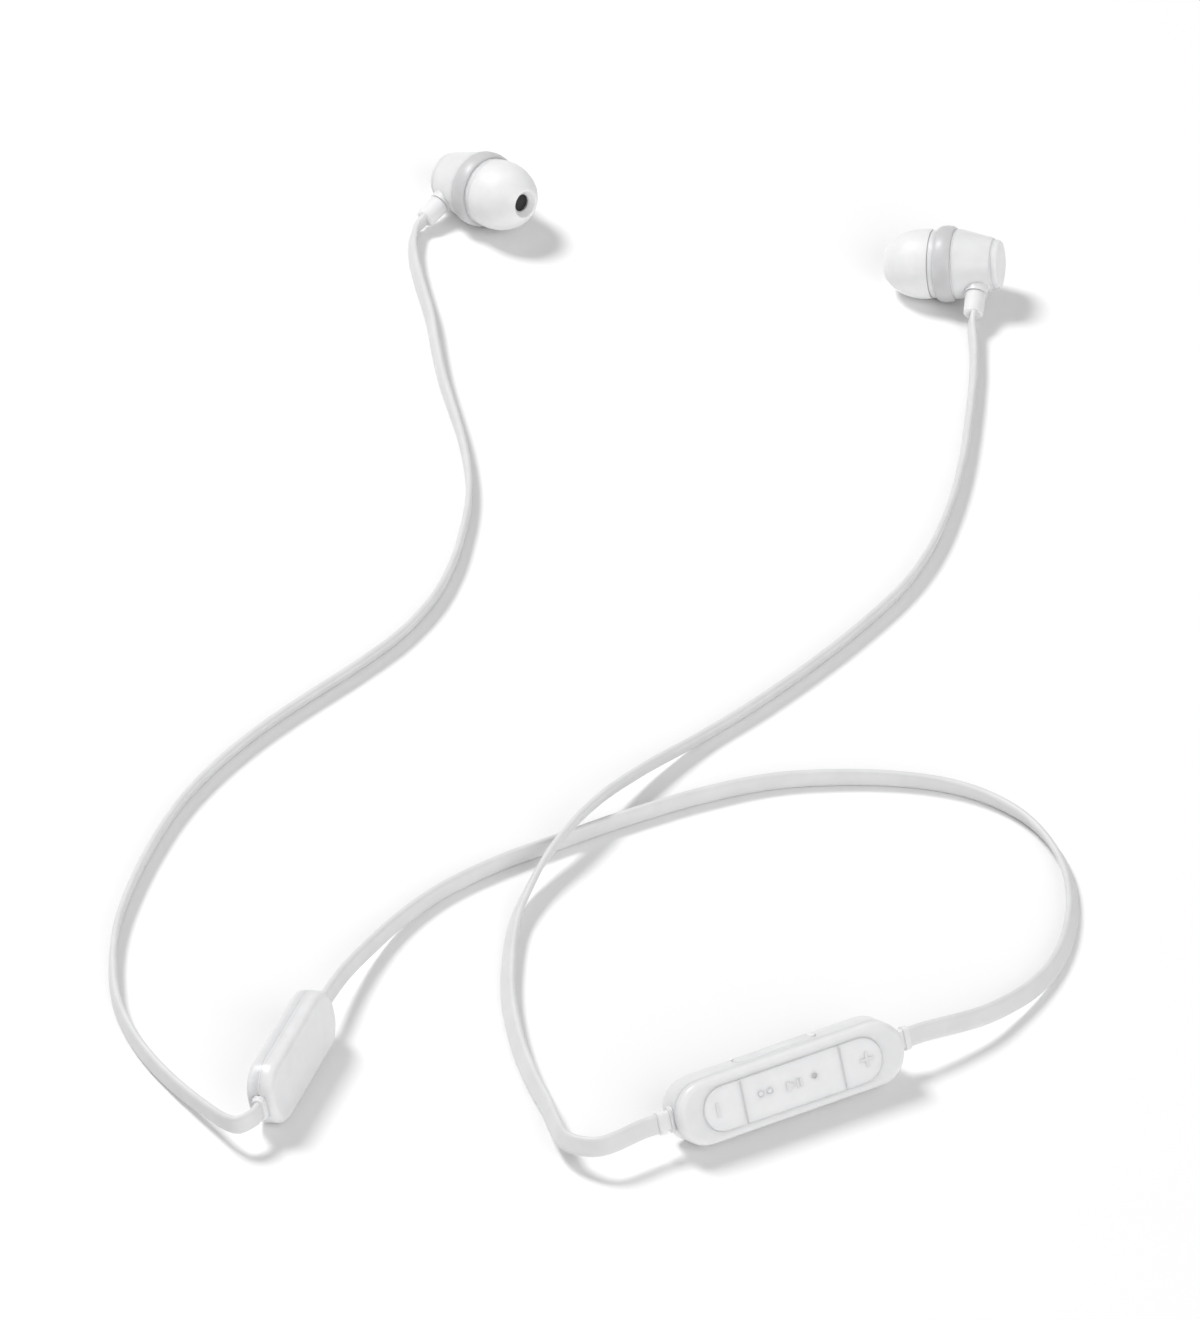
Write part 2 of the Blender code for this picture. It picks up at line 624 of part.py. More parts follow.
def flat_cord(name, first, route, last):
    """A flat cord on edge, from one boot along its free route to the other boot."""
    points = [Vector((*point, lean)) for point, lean in first]
    points += [Vector((x * MM, y * MM, z * MM, lean)) for x, y, z, lean in route]
    points += [Vector((*point, lean)) for point, lean in reversed(last)]
    line = smooth_line(points)
    curve = bpy.data.curves.new(name, "CURVE")
    curve.dimensions = "3D"
    curve.twist_mode = "Z_UP"
    curve.extrude = (CORD_WIDTH - CORD_THICKNESS) / 2
    curve.bevel_depth = CORD_THICKNESS / 2
    curve.bevel_resolution = 2
    curve.use_fill_caps = True
    spline = curve.splines.new("POLY")
    spline.points.add(len(line) - 1)
    for knot, point in zip(spline.points, line):
        knot.co = (*point.xyz, 1.0)
        knot.tilt = point.w * DEG
    curve.materials.append(material("cord_jacket"))
    made = bpy.data.objects.new(name, curve)
    bpy.context.collection.objects.link(made)
    return made


# --------------------------------------------------------------------------- remote


def remote_covers(parent):
    half = REMOTE_THICKNESS / 2
    floor = -half + REMOTE_WALL
    parting = socket_height() + COVER_WIDTH / 2 + PARTING_OVER_COVER
    rear_rim = parting - SEAM_GAP / 2
    front_rim = parting + SEAM_GAP / 2
    lip_bottom = front_rim - LIP_DEPTH
    ledge = lip_bottom - SHELL_GAP
    rim_wall = REMOTE_WALL - LIP_WALL - SHELL_GAP
    ceiling = half - REMOTE_FACE_WALL

    chamfer = INNER_FLOOR_CHAMFER
    rear = [(REMOTE_WALL + chamfer, floor), (REMOTE_WALL, floor + chamfer), (REMOTE_WALL, ledge)]
    rear += [(rim_wall, ledge), (rim_wall, rear_rim), (0, rear_rim)]
    rear += fillet(0, -half, REMOTE_BACK_FILLET, BACKWARD)
    rear_form = outline_loft(REMOTE_LENGTH, REMOTE_WIDTH, REMOTE_CORNER, rear)
    rear_cover = piece("remote_rear_cover", rear_form, "white_casing", parent)

    chamfer = INNER_FACE_CHAMFER
    front = [(REMOTE_WALL + chamfer, ceiling), (REMOTE_WALL, ceiling - chamfer)]
    front += [(REMOTE_WALL, lip_bottom), (REMOTE_WALL - LIP_WALL, lip_bottom)]
    front += [(REMOTE_WALL - LIP_WALL, front_rim), (0, front_rim)]
    front += fillet(0, half, REMOTE_FACE_FILLET, AHEAD)
    front_form = outline_loft(REMOTE_LENGTH, REMOTE_WIDTH, REMOTE_CORNER, front)
    front_cover = piece("remote_front_cover", front_form, "white_casing", parent)
    window = outline_loft(PANEL_LENGTH, PANEL_WIDTH, PANEL_CORNER, [(0, 0), (0, REMOTE_THICKNESS)])
    combine(front_cover, [window], "DIFFERENCE")

    top = board_top() - BOARD_THICKNESS - SHELL_GAP
    posts = []
    for side_x in (-1, 1):
        for side_y in (-1, 1):
            x, y = side_x * POST_AT[0], side_y * POST_AT[1]
            posts.append(rod(POST_RADIUS, (x, y, floor - REMOTE_WALL / 3), (x, y, top), POST_STEPS))
    combine(rear_cover, posts, "UNION")

    port_z = socket_height()
    wall_y = REMOTE_WIDTH / 2
    recess_depth = COVER_THICKNESS + COVER_GAP
    recess = outline_loft(
        COVER_LENGTH + 2 * COVER_GAP,
        COVER_WIDTH + 2 * COVER_GAP,
        COVER_WIDTH / 2,
        [(0, -recess_depth), (0, recess_depth)],
        4,
    )
    bmesh.ops.rotate(recess, matrix=Matrix.Rotation(-90 * DEG, 3, "X"), verts=recess.verts)
    bmesh.ops.translate(recess, vec=(0, wall_y, port_z), verts=recess.verts)
    mouth_size = (
        SOCKET_SIZE[0] + 2 * PORT_CLEARANCE,
        2 * REMOTE_WALL,
        SOCKET_SIZE[2] + 2 * PORT_CLEARANCE,
    )
    mouth = block(mouth_size, (0, wall_y - REMOTE_WALL, port_z))
    openings = [recess, mouth]
    openings += [boot_opening(REMOTE_LENGTH / 2, REMOTE_WALL, side) for side in (-1, 1)]
    combine(rear_cover, openings, "DIFFERENCE")


def key_top():
    return REMOTE_THICKNESS / 2 + PANEL_PROUD


def key_bottom():
    """Underside of the keys' retaining flange."""
    return REMOTE_THICKNESS / 2 - REMOTE_FACE_WALL - SHELL_GAP - KEY_FLANGE_THICKNESS


def switch_top():
    return key_bottom() - KEY_TRAVEL_ROOM


def board_top():
    return switch_top() - SWITCH_PLUNGER_HEIGHT - SWITCH_SIZE[2] - SOLDER_GAP


def socket_height():
    """Height of the socket's middle, under the board."""
    return board_top() - BOARD_THICKNESS - SOLDER_GAP - SOCKET_SIZE[2] / 2


def key_slab():
    """The key panel in one piece, with its retaining flange, before it is parted into keys."""
    flange_top = key_bottom() + KEY_FLANGE_THICKNESS
    outside = -KEY_FLANGE
    sections = [(outside, key_bottom()), (outside, flange_top), (KEY_GAP, flange_top)]
    sections += fillet(KEY_GAP, key_top(), PANEL_ROUNDING, AHEAD)
    return outline_loft(PANEL_LENGTH, PANEL_WIDTH, PANEL_CORNER, sections)


def key(name, parent, centre, start, end, holes=()):
    """The stretch of the key panel from start to end. Its origin is on its top, at its centre."""
    origin = Vector((centre, 0, key_top()))
    slab = key_slab()
    bmesh.ops.translate(slab, vec=-origin, verts=slab.verts)
    made = piece(name, slab, "soft_key", parent, origin)
    keep = block((end - start, 2 * REMOTE_WIDTH, 2 * REMOTE_WIDTH), ((start + end) / 2 - centre, 0, 0))
    combine(made, [keep], "INTERSECT")
    for form in holes:
        bmesh.ops.translate(form, vec=-origin, verts=form.verts)
    combine(made, holes, "DIFFERENCE")
    return made


def keys(parent):
    seam = KEY_SEAM_AT - KEY_GAP / 2
    past_seam = KEY_SEAM_AT + KEY_GAP / 2
    bottom, top = key_bottom() - MM, key_top() + MM
    holes = []
    for radius, x in (*((LIGHT_HOLE_RADIUS, x) for x in LIGHT_AT), (MIC_HOLE_RADIUS, MIC_AT)):
        holes.append(rod(radius, (x, MIDDLE_HOLES_Y, bottom), (x, MIDDLE_HOLES_Y, top), HOLE_TURN))
    key("button_minus", parent, MINUS_KEY_CENTRE, -PANEL_LENGTH, -past_seam)
    key("button_play", parent, 0, -seam, seam, holes)
    key("button_plus", parent, PLUS_KEY_CENTRE, past_seam, PANEL_LENGTH)


def on_board(name, size, x, finish, parent, under=False, y=0.0):
    """A component on the board's key side, or on its rear side."""
    if under:
        height = board_top() - BOARD_THICKNESS - SOLDER_GAP - size[2] / 2
    else:
        height = board_top() + SOLDER_GAP + size[2] / 2
    return piece(name, block(size), finish, parent, (x, y, height))


def remote_electronics(parent):
    top = board_top()
    corner = REMOTE_CORNER - REMOTE_WALL
    board = outline_loft(BOARD_LENGTH, BOARD_WIDTH, corner, [(0, -BOARD_THICKNESS), (0, 0)], 4)
    piece("main_pcb", board, "board_green", parent, (0, 0, top))
    for name, x in (("minus", MINUS_KEY_CENTRE), ("play", 0), ("plus", PLUS_KEY_CENTRE)):
        switch = on_board("switch_" + name, SWITCH_SIZE, x, "bare_metal", parent)
        base = SWITCH_SIZE[2] / 2
        plunger = rod(SWITCH_PLUNGER_RADIUS, (0, 0, 0), (0, 0, base + SWITCH_PLUNGER_HEIGHT), HOLE_TURN)
        combine(switch, [plunger], "UNION")
    on_board("bluetooth_chip", CHIP_SIZE, CHIP_AT, "component_black", parent, under=True)
    on_board("charging_chip", CHARGE_CHIP_SIZE, CHARGE_CHIP_AT, "component_black", parent, under=True)
    on_board("antenna_chip", ANTENNA_SIZE, ANTENNA_AT, "clear_guide", parent, under=True)
    on_board("crystal", CRYSTAL_SIZE, CRYSTAL_AT, "bare_metal", parent)
    microphone(parent)
    lights(parent)
    usb_socket(parent)


def microphone(parent):
    """The microphone under the middle key's hole, with a dust screen on top of it."""
    on_board("microphone", MIC_SIZE, MIC_AT, "bare_metal", parent, y=MIDDLE_HOLES_Y)
    radius, thickness = MIC_SCREEN
    bottom = board_top() + 2 * SOLDER_GAP + MIC_SIZE[2]
    screen = rod(radius, (0, 0, 0), (0, 0, thickness))
    piece("microphone_screen", screen, "mesh_black", parent, (MIC_AT, MIDDLE_HOLES_Y, bottom))


def lights(parent):
    """Two light chips, and over them a clear bar whose two pegs stand in holes of the middle key."""
    chip_height = LIGHT_CHIP_SIZE[2]
    for name, x in (("power", LIGHT_AT[0]), ("charge", LIGHT_AT[1])):
        on_board("led_" + name, LIGHT_CHIP_SIZE, x, "clear_guide", parent, y=MIDDLE_HOLES_Y)
    middle = (LIGHT_AT[0] + LIGHT_AT[1]) / 2
    length = abs(LIGHT_AT[1] - LIGHT_AT[0]) + 3 * LIGHT_RADIUS
    start = board_top() + 2 * SOLDER_GAP + chip_height
    bar = block((length, 3 * LIGHT_RADIUS, LIGHT_BAR), (0, 0, LIGHT_BAR / 2))
    guide = piece("light_guide", bar, "clear_guide", parent, (middle, MIDDLE_HOLES_Y, start))
    peg_top = key_top() - LIGHT_RECESS - start
    pegs = []
    for x in LIGHT_AT:
        pegs.append(rod(LIGHT_RADIUS, (x - middle, 0, LIGHT_BAR / 2), (x - middle, 0, peg_top), HOLE_TURN))
    combine(guide, pegs, "UNION")


def usb_socket(parent):
    """The socket's folded shell, open towards the remote's upper edge, and the tongue inside it."""
    length, depth, height = SOCKET_SIZE
    mouth_y = REMOTE_WIDTH / 2 - COVER_THICKNESS - 2 * COVER_GAP
    at = (0, mouth_y - depth / 2, socket_height())
    socket = piece("usb_socket", block(SOCKET_SIZE), "bare_metal", parent, at)
    inner = (length - 2 * SOCKET_WALL, depth, height - 2 * SOCKET_WALL)
    combine(socket, [block(inner, (0, SOCKET_WALL, 0))], "DIFFERENCE")
    back = -depth / 2 + SOCKET_WALL + SOLDER_GAP
    foot = block(TONGUE_FOOT, (0, back + TONGUE_FOOT[1] / 2, 0))
    tongue = piece("usb_tongue", foot, "component_black", parent, at)
    combine(tongue, [block(SOCKET_TONGUE, (0, back + SOCKET_TONGUE[1] / 2, 0))], "UNION")


def usb_port_cover(parent):
    """The soft cover of the socket. Its origin is on its hinge line, at its left end."""
    middle = (COVER_LENGTH / 2, 0, 0)
    sections = [(0, -COVER_THICKNESS), (0, -COVER_EDGE), (COVER_EDGE, 0)]
    plate = outline_loft(COVER_LENGTH, COVER_WIDTH, COVER_WIDTH / 2, sections, 4)
    bmesh.ops.translate(plate, vec=middle, verts=plate.verts)
    at = (-COVER_LENGTH / 2, REMOTE_WIDTH / 2, socket_height())
    cover = piece("usb_port_cover", plate, "soft_key", parent, at, (-90 * DEG, 0, 0))
    plug_length, plug_width, plug_depth = COVER_PLUG
    bottom = -COVER_THICKNESS - plug_depth
    chamfer = COVER_PLUG_CHAMFER
    sections = [(0, -COVER_THICKNESS / 2), (0, bottom + chamfer), (chamfer, bottom)]
    plug = outline_loft(plug_length, plug_width, plug_width / 3, sections, 2)
    bmesh.ops.translate(plug, vec=middle, verts=plug.verts)
    lip_length, lip_width, lip_height = COVER_LIP
    lip_size = (lip_length, lip_width, 2 * lip_height)
    lip = block(lip_size, (COVER_LENGTH - COVER_LIP_FROM_END, 0, 0), COVER_EDGE)
    combine(cover, [plug, lip], "UNION")


def build_remote():
    height = lowest_reach(REMOTE_WIDTH, REMOTE_THICKNESS, REMOTE_BACK_FILLET, REMOTE_LEAN)
    turn = Euler((90 * DEG - REMOTE_LEAN, 0, REMOTE_HEADING))
    parent = frame("remote_frame", REMOTE_PLACE, height, turn)
    remote_covers(parent)
    keys(parent)
    remote_electronics(parent)
    usb_port_cover(parent)
    setback = flange_setback(REMOTE_WIDTH, REMOTE_CORNER, REMOTE_WALL)
    fitted = (REMOTE_LENGTH / 2, REMOTE_WALL, setback, REMOTE_BOOT_LENGTH)
    cord_boot("remote_boot_neck", parent, *fitted, AHEAD, True)
    cord_boot("remote_boot_ear", parent, *fitted, BACKWARD, True)
    return parent


# --------------------------------------------------------------------------- battery pod


def pod_cover(name, parent, side, lipped):
    """One half of the pod. The lipped half carries the tongue that enters the other."""
    half = POD_THICKNESS / 2
    floor = half - POD_WALL
    rim = SHELL_GAP / 2
    tongue = POD_WALL / 2 - SHELL_GAP / 2
    step_in = POD_WALL - tongue
    chamfer = INNER_FLOOR_CHAMFER
    sections = [(POD_WALL + chamfer, floor), (POD_WALL, floor - chamfer)]
    if lipped:
        sections += [(POD_WALL, -LIP_DEPTH), (step_in, -LIP_DEPTH), (step_in, rim), (0, rim)]
    else:
        ledge = rim + LIP_DEPTH + SHELL_GAP
        sections += [(POD_WALL, ledge), (tongue, ledge), (tongue, rim), (0, rim)]
    sections += fillet(0, half, POD_FILLET, AHEAD)
    form = outline_loft(POD_LENGTH, POD_WIDTH, POD_CORNER, [(inset, side * z) for inset, z in sections])
    cover = piece(name, form, "white_casing", parent)
    openings = [boot_opening(POD_LENGTH / 2, POD_WALL, end) for end in (-1, 1)]
    combine(cover, openings, "DIFFERENCE")


def build_pod():
    height = lowest_reach(POD_WIDTH, POD_THICKNESS, POD_FILLET, POD_LEAN)
    turn = Euler((90 * DEG - POD_LEAN, 0, POD_HEADING))
    parent = frame("pod_frame", POD_PLACE, height, turn)
    pod_cover("pod_front_cover", parent, AHEAD, True)
    pod_cover("pod_rear_cover", parent, BACKWARD, False)
    piece("battery_cell", block(CELL_SIZE, chamfer=CELL_CHAMFER), "cell_pouch", parent, (CELL_AT, 0, 0))
    board_x = CELL_AT + CELL_SIZE[0] / 2 + SEAT_GAP + CELL_BOARD_SIZE[0] / 2
    piece("protection_pcb", block(CELL_BOARD_SIZE), "board_green", parent, (board_x, 0, 0))
    setback = flange_setback(POD_WIDTH, POD_CORNER, POD_WALL)
    fitted = (POD_LENGTH / 2, POD_WALL, setback, POD_BOOT_LENGTH)
    cord_boot("pod_boot_neck", parent, *fitted, AHEAD, False)
    cord_boot("pod_boot_ear", parent, *fitted, BACKWARD, False)
    return parent


# --------------------------------------------------------------------------- earbuds


def rest_height(pitch):
    """Height of a bud's middle above the surface that its outline rests on at that pitch."""
    outlines = ring_profile() + housing_profile() + nozzle_profile() + tip_profile() + cap_profile()
    return max(radius * math.cos(pitch) - station * math.sin(pitch) for station, radius in outlines)


def bud_frame(name, place, heading, pitch, droop, viewer_side):
    """The empty of a bud: Z along its axis to the tip, -Y along its drooping stem."""
    axis = Vector((math.cos(heading) * math.cos(pitch), math.sin(heading) * math.cos(pitch), math.sin(pitch)))
    level = viewer_side * Vector((math.sin(heading), -math.cos(heading), 0))
    down = -(Vector((0, 0, 1)) - axis * axis.z).normalized()
    stem = math.cos(droop) * level + math.sin(droop) * down
    y_axis = -stem
    x_axis = y_axis.cross(axis)
    turn = Matrix((x_axis, y_axis, axis)).transposed().to_quaternion()
    return frame(name, place, rest_height(pitch), turn)


def between(station, start, end):
    """The radius at a station on the straight line between two points of a profile."""
    share = (station - start[0]) / (end[0] - start[0])
    return start[1] + (end[1] - start[1]) * share


def housing_lines():
    """The ends of the housing's cone, outside and inside."""
    front = -RING_HALF - SEAM_GAP
    rear = front - HOUSING_LENGTH
    cone_start = front - HOUSING_BAND
    outside_start = (cone_start, HOUSING_FRONT_RADIUS - HOUSING_BAND_TAPER)
    outside_end = (rear + HOUSING_REAR_EDGE, HOUSING_REAR_RADIUS)
    inside_start = (cone_start, RING_BORE - 1.5 * SHELL_GAP)
    inside_end = (rear + HOUSING_WALL, CAP_RADIUS - CAP_STEP)
    return (outside_start, outside_end), (inside_start, inside_end)


def beside_stem(line, radius, station=STEM_AT):
    """How high a round piece of that radius may end, along the stem, to stay under a cone's line."""
    at_rear = between(station - radius, *line)
    at_side = math.sqrt(between(station, *line) ** 2 - radius**2)
    return min(at_rear, at_side)


def stem_boss_start():
    return beside_stem(housing_lines()[0], STEM_BOSS_RADIUS) - STEM_BOSS_SINK


def stem_boss_end():
    return between(STEM_AT, *housing_lines()[0]) + STEM_BOSS_HEIGHT


def stem_flange_top():
    return beside_stem(housing_lines()[1], STEM_FLANGE_RADIUS) - SHELL_GAP


def stem_end():
    return stem_boss_end() + SEAM_GAP + STEM_LENGTH


def housing_profile():
    """The conical shell between the trim ring and the rear cap."""
    front = -RING_HALF - SEAM_GAP
    rear = front - HOUSING_LENGTH
    (cone_start, band), (cone_end, narrow) = housing_lines()[0]
    (_, inner_start), (inner_end, throat) = housing_lines()[1]
    return [
        (front, RING_BORE - SHELL_GAP),
        (front, HOUSING_FRONT_RADIUS - HOUSING_EDGE),
        (front - HOUSING_EDGE, HOUSING_FRONT_RADIUS),
        (cone_start, band),
        (cone_end, narrow),
        (rear, narrow - HOUSING_REAR_EDGE),
        (rear, throat),
        (inner_end, throat),
        (cone_start, inner_start),
    ]


def nozzle_profile():
    """The front housing: spigot in the ring, flange in front of it, and the barbed nozzle."""
    spigot = RING_BORE - SHELL_GAP
    edge = NOZZLE_EDGE
    flange = RING_HALF + SEAM_GAP
    flange_end = flange + NOZZLE_FLANGE_THICKNESS
    shoulder_forward, shoulder_in = NOZZLE_SHOULDER
    funnel_start, funnel_end = NOZZLE_FUNNEL
    neck = flange_end + NOZZLE_NECK
    barb = NOZZLE_END - NOZZLE_BARB_LENGTH
    return [
        (-RING_HALF, spigot - SPIGOT_WALL),
        (-RING_HALF, spigot),
        (flange, spigot),
        (flange, NOZZLE_FLANGE_RADIUS - edge),
        (flange + edge, NOZZLE_FLANGE_RADIUS),
        (flange_end - 2 * edge, NOZZLE_FLANGE_RADIUS),
        (flange_end, NOZZLE_FLANGE_RADIUS - 2 * edge),
        (flange_end + shoulder_forward, NOZZLE_FLANGE_RADIUS - shoulder_in),
        (neck, NOZZLE_RADIUS),
        (barb - edge, NOZZLE_RADIUS),
        (barb, NOZZLE_BARB_RADIUS),
        (NOZZLE_END - NOZZLE_BARB_NOSE, NOZZLE_BARB_RADIUS),
        (NOZZLE_END, NOZZLE_RADIUS),
        (NOZZLE_END, NOZZLE_BORE),
        (neck - funnel_end, NOZZLE_BORE),
        (flange + funnel_start, spigot - SPIGOT_WALL),
    ]


def tip_profile():
    """The ear tip: an elliptic dome that turns back into the sleeve over the nozzle."""
    bore = NOZZLE_BARB_RADIUS + TIP_BORE_CLEARANCE
    sleeve = bore + TIP_SLEEVE_WALL
    seat = NOZZLE_END + SHELL_GAP
    front_radius = TIP_OPENING + TIP_RIM
    outer_end = math.acos(front_radius / TIP_RADIUS)
    inner_radius, inner_dome = TIP_RADIUS - TIP_WALL, TIP_DOME - TIP_WALL
    inner_end = math.acos(sleeve / inner_radius)
    skirt_inside, skirt_outside = TIP_SKIRT
    profile = [(TIP_START, inner_radius - skirt_inside), (TIP_START, TIP_RADIUS - skirt_outside)]
    for step in range(TIP_STEPS + 1):
        angle = outer_end * step / TIP_STEPS
        profile.append((TIP_WIDEST + TIP_DOME * math.sin(angle), TIP_RADIUS * math.cos(angle)))
    front = profile[-1][0]
    profile.append((front + TIP_RIM_ROUND, TIP_OPENING + TIP_RIM / 2))
    profile.append((front, TIP_OPENING))
    profile += [(seat, TIP_OPENING), (seat, bore), (TIP_SLEEVE_START, bore), (TIP_SLEEVE_START, sleeve)]
    for step in range(TIP_STEPS - 2, -1, -1):
        angle = inner_end * step / (TIP_STEPS - 2)
        profile.append((TIP_WIDEST + inner_dome * math.sin(angle), inner_radius * math.cos(angle)))
    return profile


def cap_profile():
    """The cap: its spigot in the housing's rear opening, and its low dome."""
    start = -RING_HALF - 2 * SEAM_GAP - HOUSING_LENGTH
    spigot = CAP_RADIUS - CAP_STEP - SHELL_GAP
    profile = [
        (start + CAP_SPIGOT_LENGTH, 0),
        (start + CAP_SPIGOT_LENGTH, spigot),
        (start, spigot),
        (start, CAP_RADIUS - CAP_EDGE),
        (start - CAP_EDGE, CAP_RADIUS),
    ]
    profile += [(start - share * CAP_LENGTH, CAP_RADIUS - inset) for share, inset in CAP_DOME]
    return profile + [(start - CAP_LENGTH, 0)]


def ring_profile():
    """The trim ring, gently bulged."""
    profile = [(-RING_HALF, RING_BORE)]
    for angle in range(0, 181, 45):
        station = -RING_HALF * math.cos(angle * DEG)
        profile.append((station, RING_RADIUS - RING_BULGE * (1 - math.sin(angle * DEG))))
    return profile + [(RING_HALF, RING_BORE)]


def driver(name, parent):
    """A small dynamic driver: frame, magnet in its back, and diaphragm at its front."""
    inner = DRIVER_RADIUS - DRIVER_WALL
    seat = MAGNET_RADIUS + SHELL_GAP
    step = DRIVER_BACK + DRIVER_WALL
    frame_profile = [
        (DRIVER_BACK, seat),
        (DRIVER_BACK, DRIVER_RADIUS),
        (DRIVER_FRONT, DRIVER_RADIUS),
        (DRIVER_FRONT, inner),
        (step, inner),
        (step, seat),
    ]
    piece(name + "_driver_frame", turned(frame_profile, HIDDEN_TURN), "component_black", parent)
    magnet = rod(MAGNET_RADIUS, (0, 0, MAGNET_BACK), (0, 0, MAGNET_FRONT), HIDDEN_TURN)
    piece(name + "_driver_magnet", magnet, "bare_metal", parent)
    rim = inner - KEY_GAP
    film = [(height, share * rim) for height, share in FILM_SECTION]
    piece(name + "_diaphragm", turned(film, HIDDEN_TURN), "driver_film", parent)


def stem_boot(name, parent):
    """The round strain relief under a bud: flange inside, neck through the boss, body outside."""
    start = stem_boss_end() + SEAM_GAP
    inside = stem_flange_top()
    end = stem_end()
    edge = STEM_EDGE
    profile = [
        (inside - STEM_FLANGE_THICKNESS, 0),
        (inside - STEM_FLANGE_THICKNESS, STEM_FLANGE_RADIUS),
        (inside, STEM_FLANGE_RADIUS),
        (inside, STEM_NECK_RADIUS),
        (start, STEM_NECK_RADIUS),
        (start, STEM_RADIUS - edge),
        (start + edge, STEM_RADIUS),
        (end - 3 * edge, STEM_RADIUS - edge),
        (end, STEM_RADIUS - 4 * edge),
        (end, 0),
    ]
    form = turned(profile, PLAIN_TURN)
    piece(name + "_stem_boot", form, "boot_elastomer", parent, (0, 0, STEM_AT), (90 * DEG, 0, 0))


def build_bud(name, place, heading, pitch, droop, viewer_side):
    parent = bud_frame(name + "_bud_frame", place, heading, pitch, droop, viewer_side)
    housing = piece(name + "_housing", turned(housing_profile(), FINE_TURN), "white_casing", parent)
    start, end = (0, -stem_boss_start(), STEM_AT), (0, -stem_boss_end(), STEM_AT)
    combine(housing, [rod(STEM_BOSS_RADIUS, start, end, BOSS_TURN)], "UNION")
    start, end = (0, -stem_flange_top() / 2, STEM_AT), (0, -stem_end(), STEM_AT)
    combine(housing, [rod(STEM_NECK_RADIUS + SHELL_GAP, start, end, BOSS_TURN)], "DIFFERENCE")
    piece(name + "_rear_cap", turned(cap_profile(), FINE_TURN), "white_casing", parent)
    piece(name + "_trim_ring", turned(ring_profile(), FINE_TURN), "trim_grey", parent)
    piece(name + "_front_housing", turned(nozzle_profile(), FINE_TURN), "white_casing", parent)
    mesh_end = NOZZLE_END - MESH_RECESS
    mesh_start = mesh_end - MESH_THICKNESS
    mesh_radius = NOZZLE_BORE - KEY_GAP
    screen = [(mesh_start, 0), (mesh_start, mesh_radius), (mesh_end, mesh_radius), (mesh_end, 0)]
    piece(name + "_nozzle_mesh", turned(screen, SMALL_TURN), "mesh_black", parent)
    piece(name + "_ear_tip", turned(tip_profile(), FINE_TURN), "tip_silicone", parent)
    driver(name, parent)
    stem_boot(name, parent)
    return parent


# --------------------------------------------------------------------------- assembly


def build():
    clear_scene()
    remote = build_remote()
    pod = build_pod()
    left = build_bud("left", LEFT_BUD_PLACE, LEFT_BUD_HEADING, LEFT_BUD_PITCH, LEFT_STEM_DROOP, AHEAD)
    right = build_bud(
        "right", RIGHT_BUD_PLACE, RIGHT_BUD_HEADING, RIGHT_BUD_PITCH, RIGHT_STEM_DROOP, BACKWARD
    )

    remote_end = REMOTE_LENGTH / 2 + REMOTE_BOOT_LENGTH
    pod_end = POD_LENGTH / 2 + POD_BOOT_LENGTH
    ahead, backward, stem = (1, 0, 0), (-1, 0, 0), (0, -1, 0)
    at_remote_neck = exit_from(remote, (remote_end, 0, 0), ahead, REMOTE_STRAIGHT, REMOTE_LEAN / DEG)
    at_remote_ear = exit_from(remote, (-remote_end, 0, 0), backward, REMOTE_STRAIGHT, REMOTE_LEAN / DEG)
    at_pod_neck = exit_from(pod, (pod_end, 0, 0), ahead, POD_STRAIGHT, -POD_LEAN / DEG)
    at_pod_ear = exit_from(pod, (-pod_end, 0, 0), backward, POD_STRAIGHT, -POD_LEAN / DEG)
    stem_tip = (0, -stem_end(), STEM_AT)
    at_left = exit_from(left, stem_tip, stem, BUD_STRAIGHT, LEFT_ROUTE[0][3])
    at_right = exit_from(right, stem_tip, stem, BUD_STRAIGHT, RIGHT_ROUTE[-1][3])
    flat_cord("left_cord", at_left, LEFT_ROUTE, at_pod_ear)
    flat_cord("neck_cord", at_pod_neck, NECK_ROUTE, at_remote_neck)
    flat_cord("right_cord", at_remote_ear, RIGHT_ROUTE, at_right)
    bpy.context.view_layer.update()


build()
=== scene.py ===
"""Looks of the wireless neckband earphones: finishes, flat cords, ear tips, key marks and studio.

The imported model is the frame. Metres, +Z up, the set lies on the floor at z = 0.
"""

import math

import bmesh
import bpy
from mathutils import Euler, Matrix, Vector


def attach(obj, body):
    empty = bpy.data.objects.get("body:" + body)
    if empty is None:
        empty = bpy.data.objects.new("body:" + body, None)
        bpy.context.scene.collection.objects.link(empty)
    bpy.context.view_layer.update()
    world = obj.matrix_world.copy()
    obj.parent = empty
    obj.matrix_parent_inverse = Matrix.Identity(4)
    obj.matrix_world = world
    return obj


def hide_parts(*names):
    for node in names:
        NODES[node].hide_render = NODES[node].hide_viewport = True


MM = 0.001
DEG = math.pi / 180.0

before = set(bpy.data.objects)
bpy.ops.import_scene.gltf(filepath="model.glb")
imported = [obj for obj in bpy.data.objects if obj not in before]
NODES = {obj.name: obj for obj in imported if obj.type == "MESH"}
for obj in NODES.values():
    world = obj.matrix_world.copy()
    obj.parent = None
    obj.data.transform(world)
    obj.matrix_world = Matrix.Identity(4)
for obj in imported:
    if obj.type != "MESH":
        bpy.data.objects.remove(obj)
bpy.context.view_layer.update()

# Sizes and places that part.py gives.
SEAM_GAP = 0.06 * MM
SHELL_GAP = 0.2 * MM
CORD_WIDTH = 3.4 * MM
CORD_THICKNESS = 1.15 * MM
CORD_END_GAP = 0.4 * MM
REMOTE_LENGTH = 42.0 * MM
REMOTE_WIDTH = 11.0 * MM
REMOTE_THICKNESS = 7.4 * MM
REMOTE_BACK_FILLET = 1.2 * MM
REMOTE_BOOT_LENGTH = 2.6 * MM
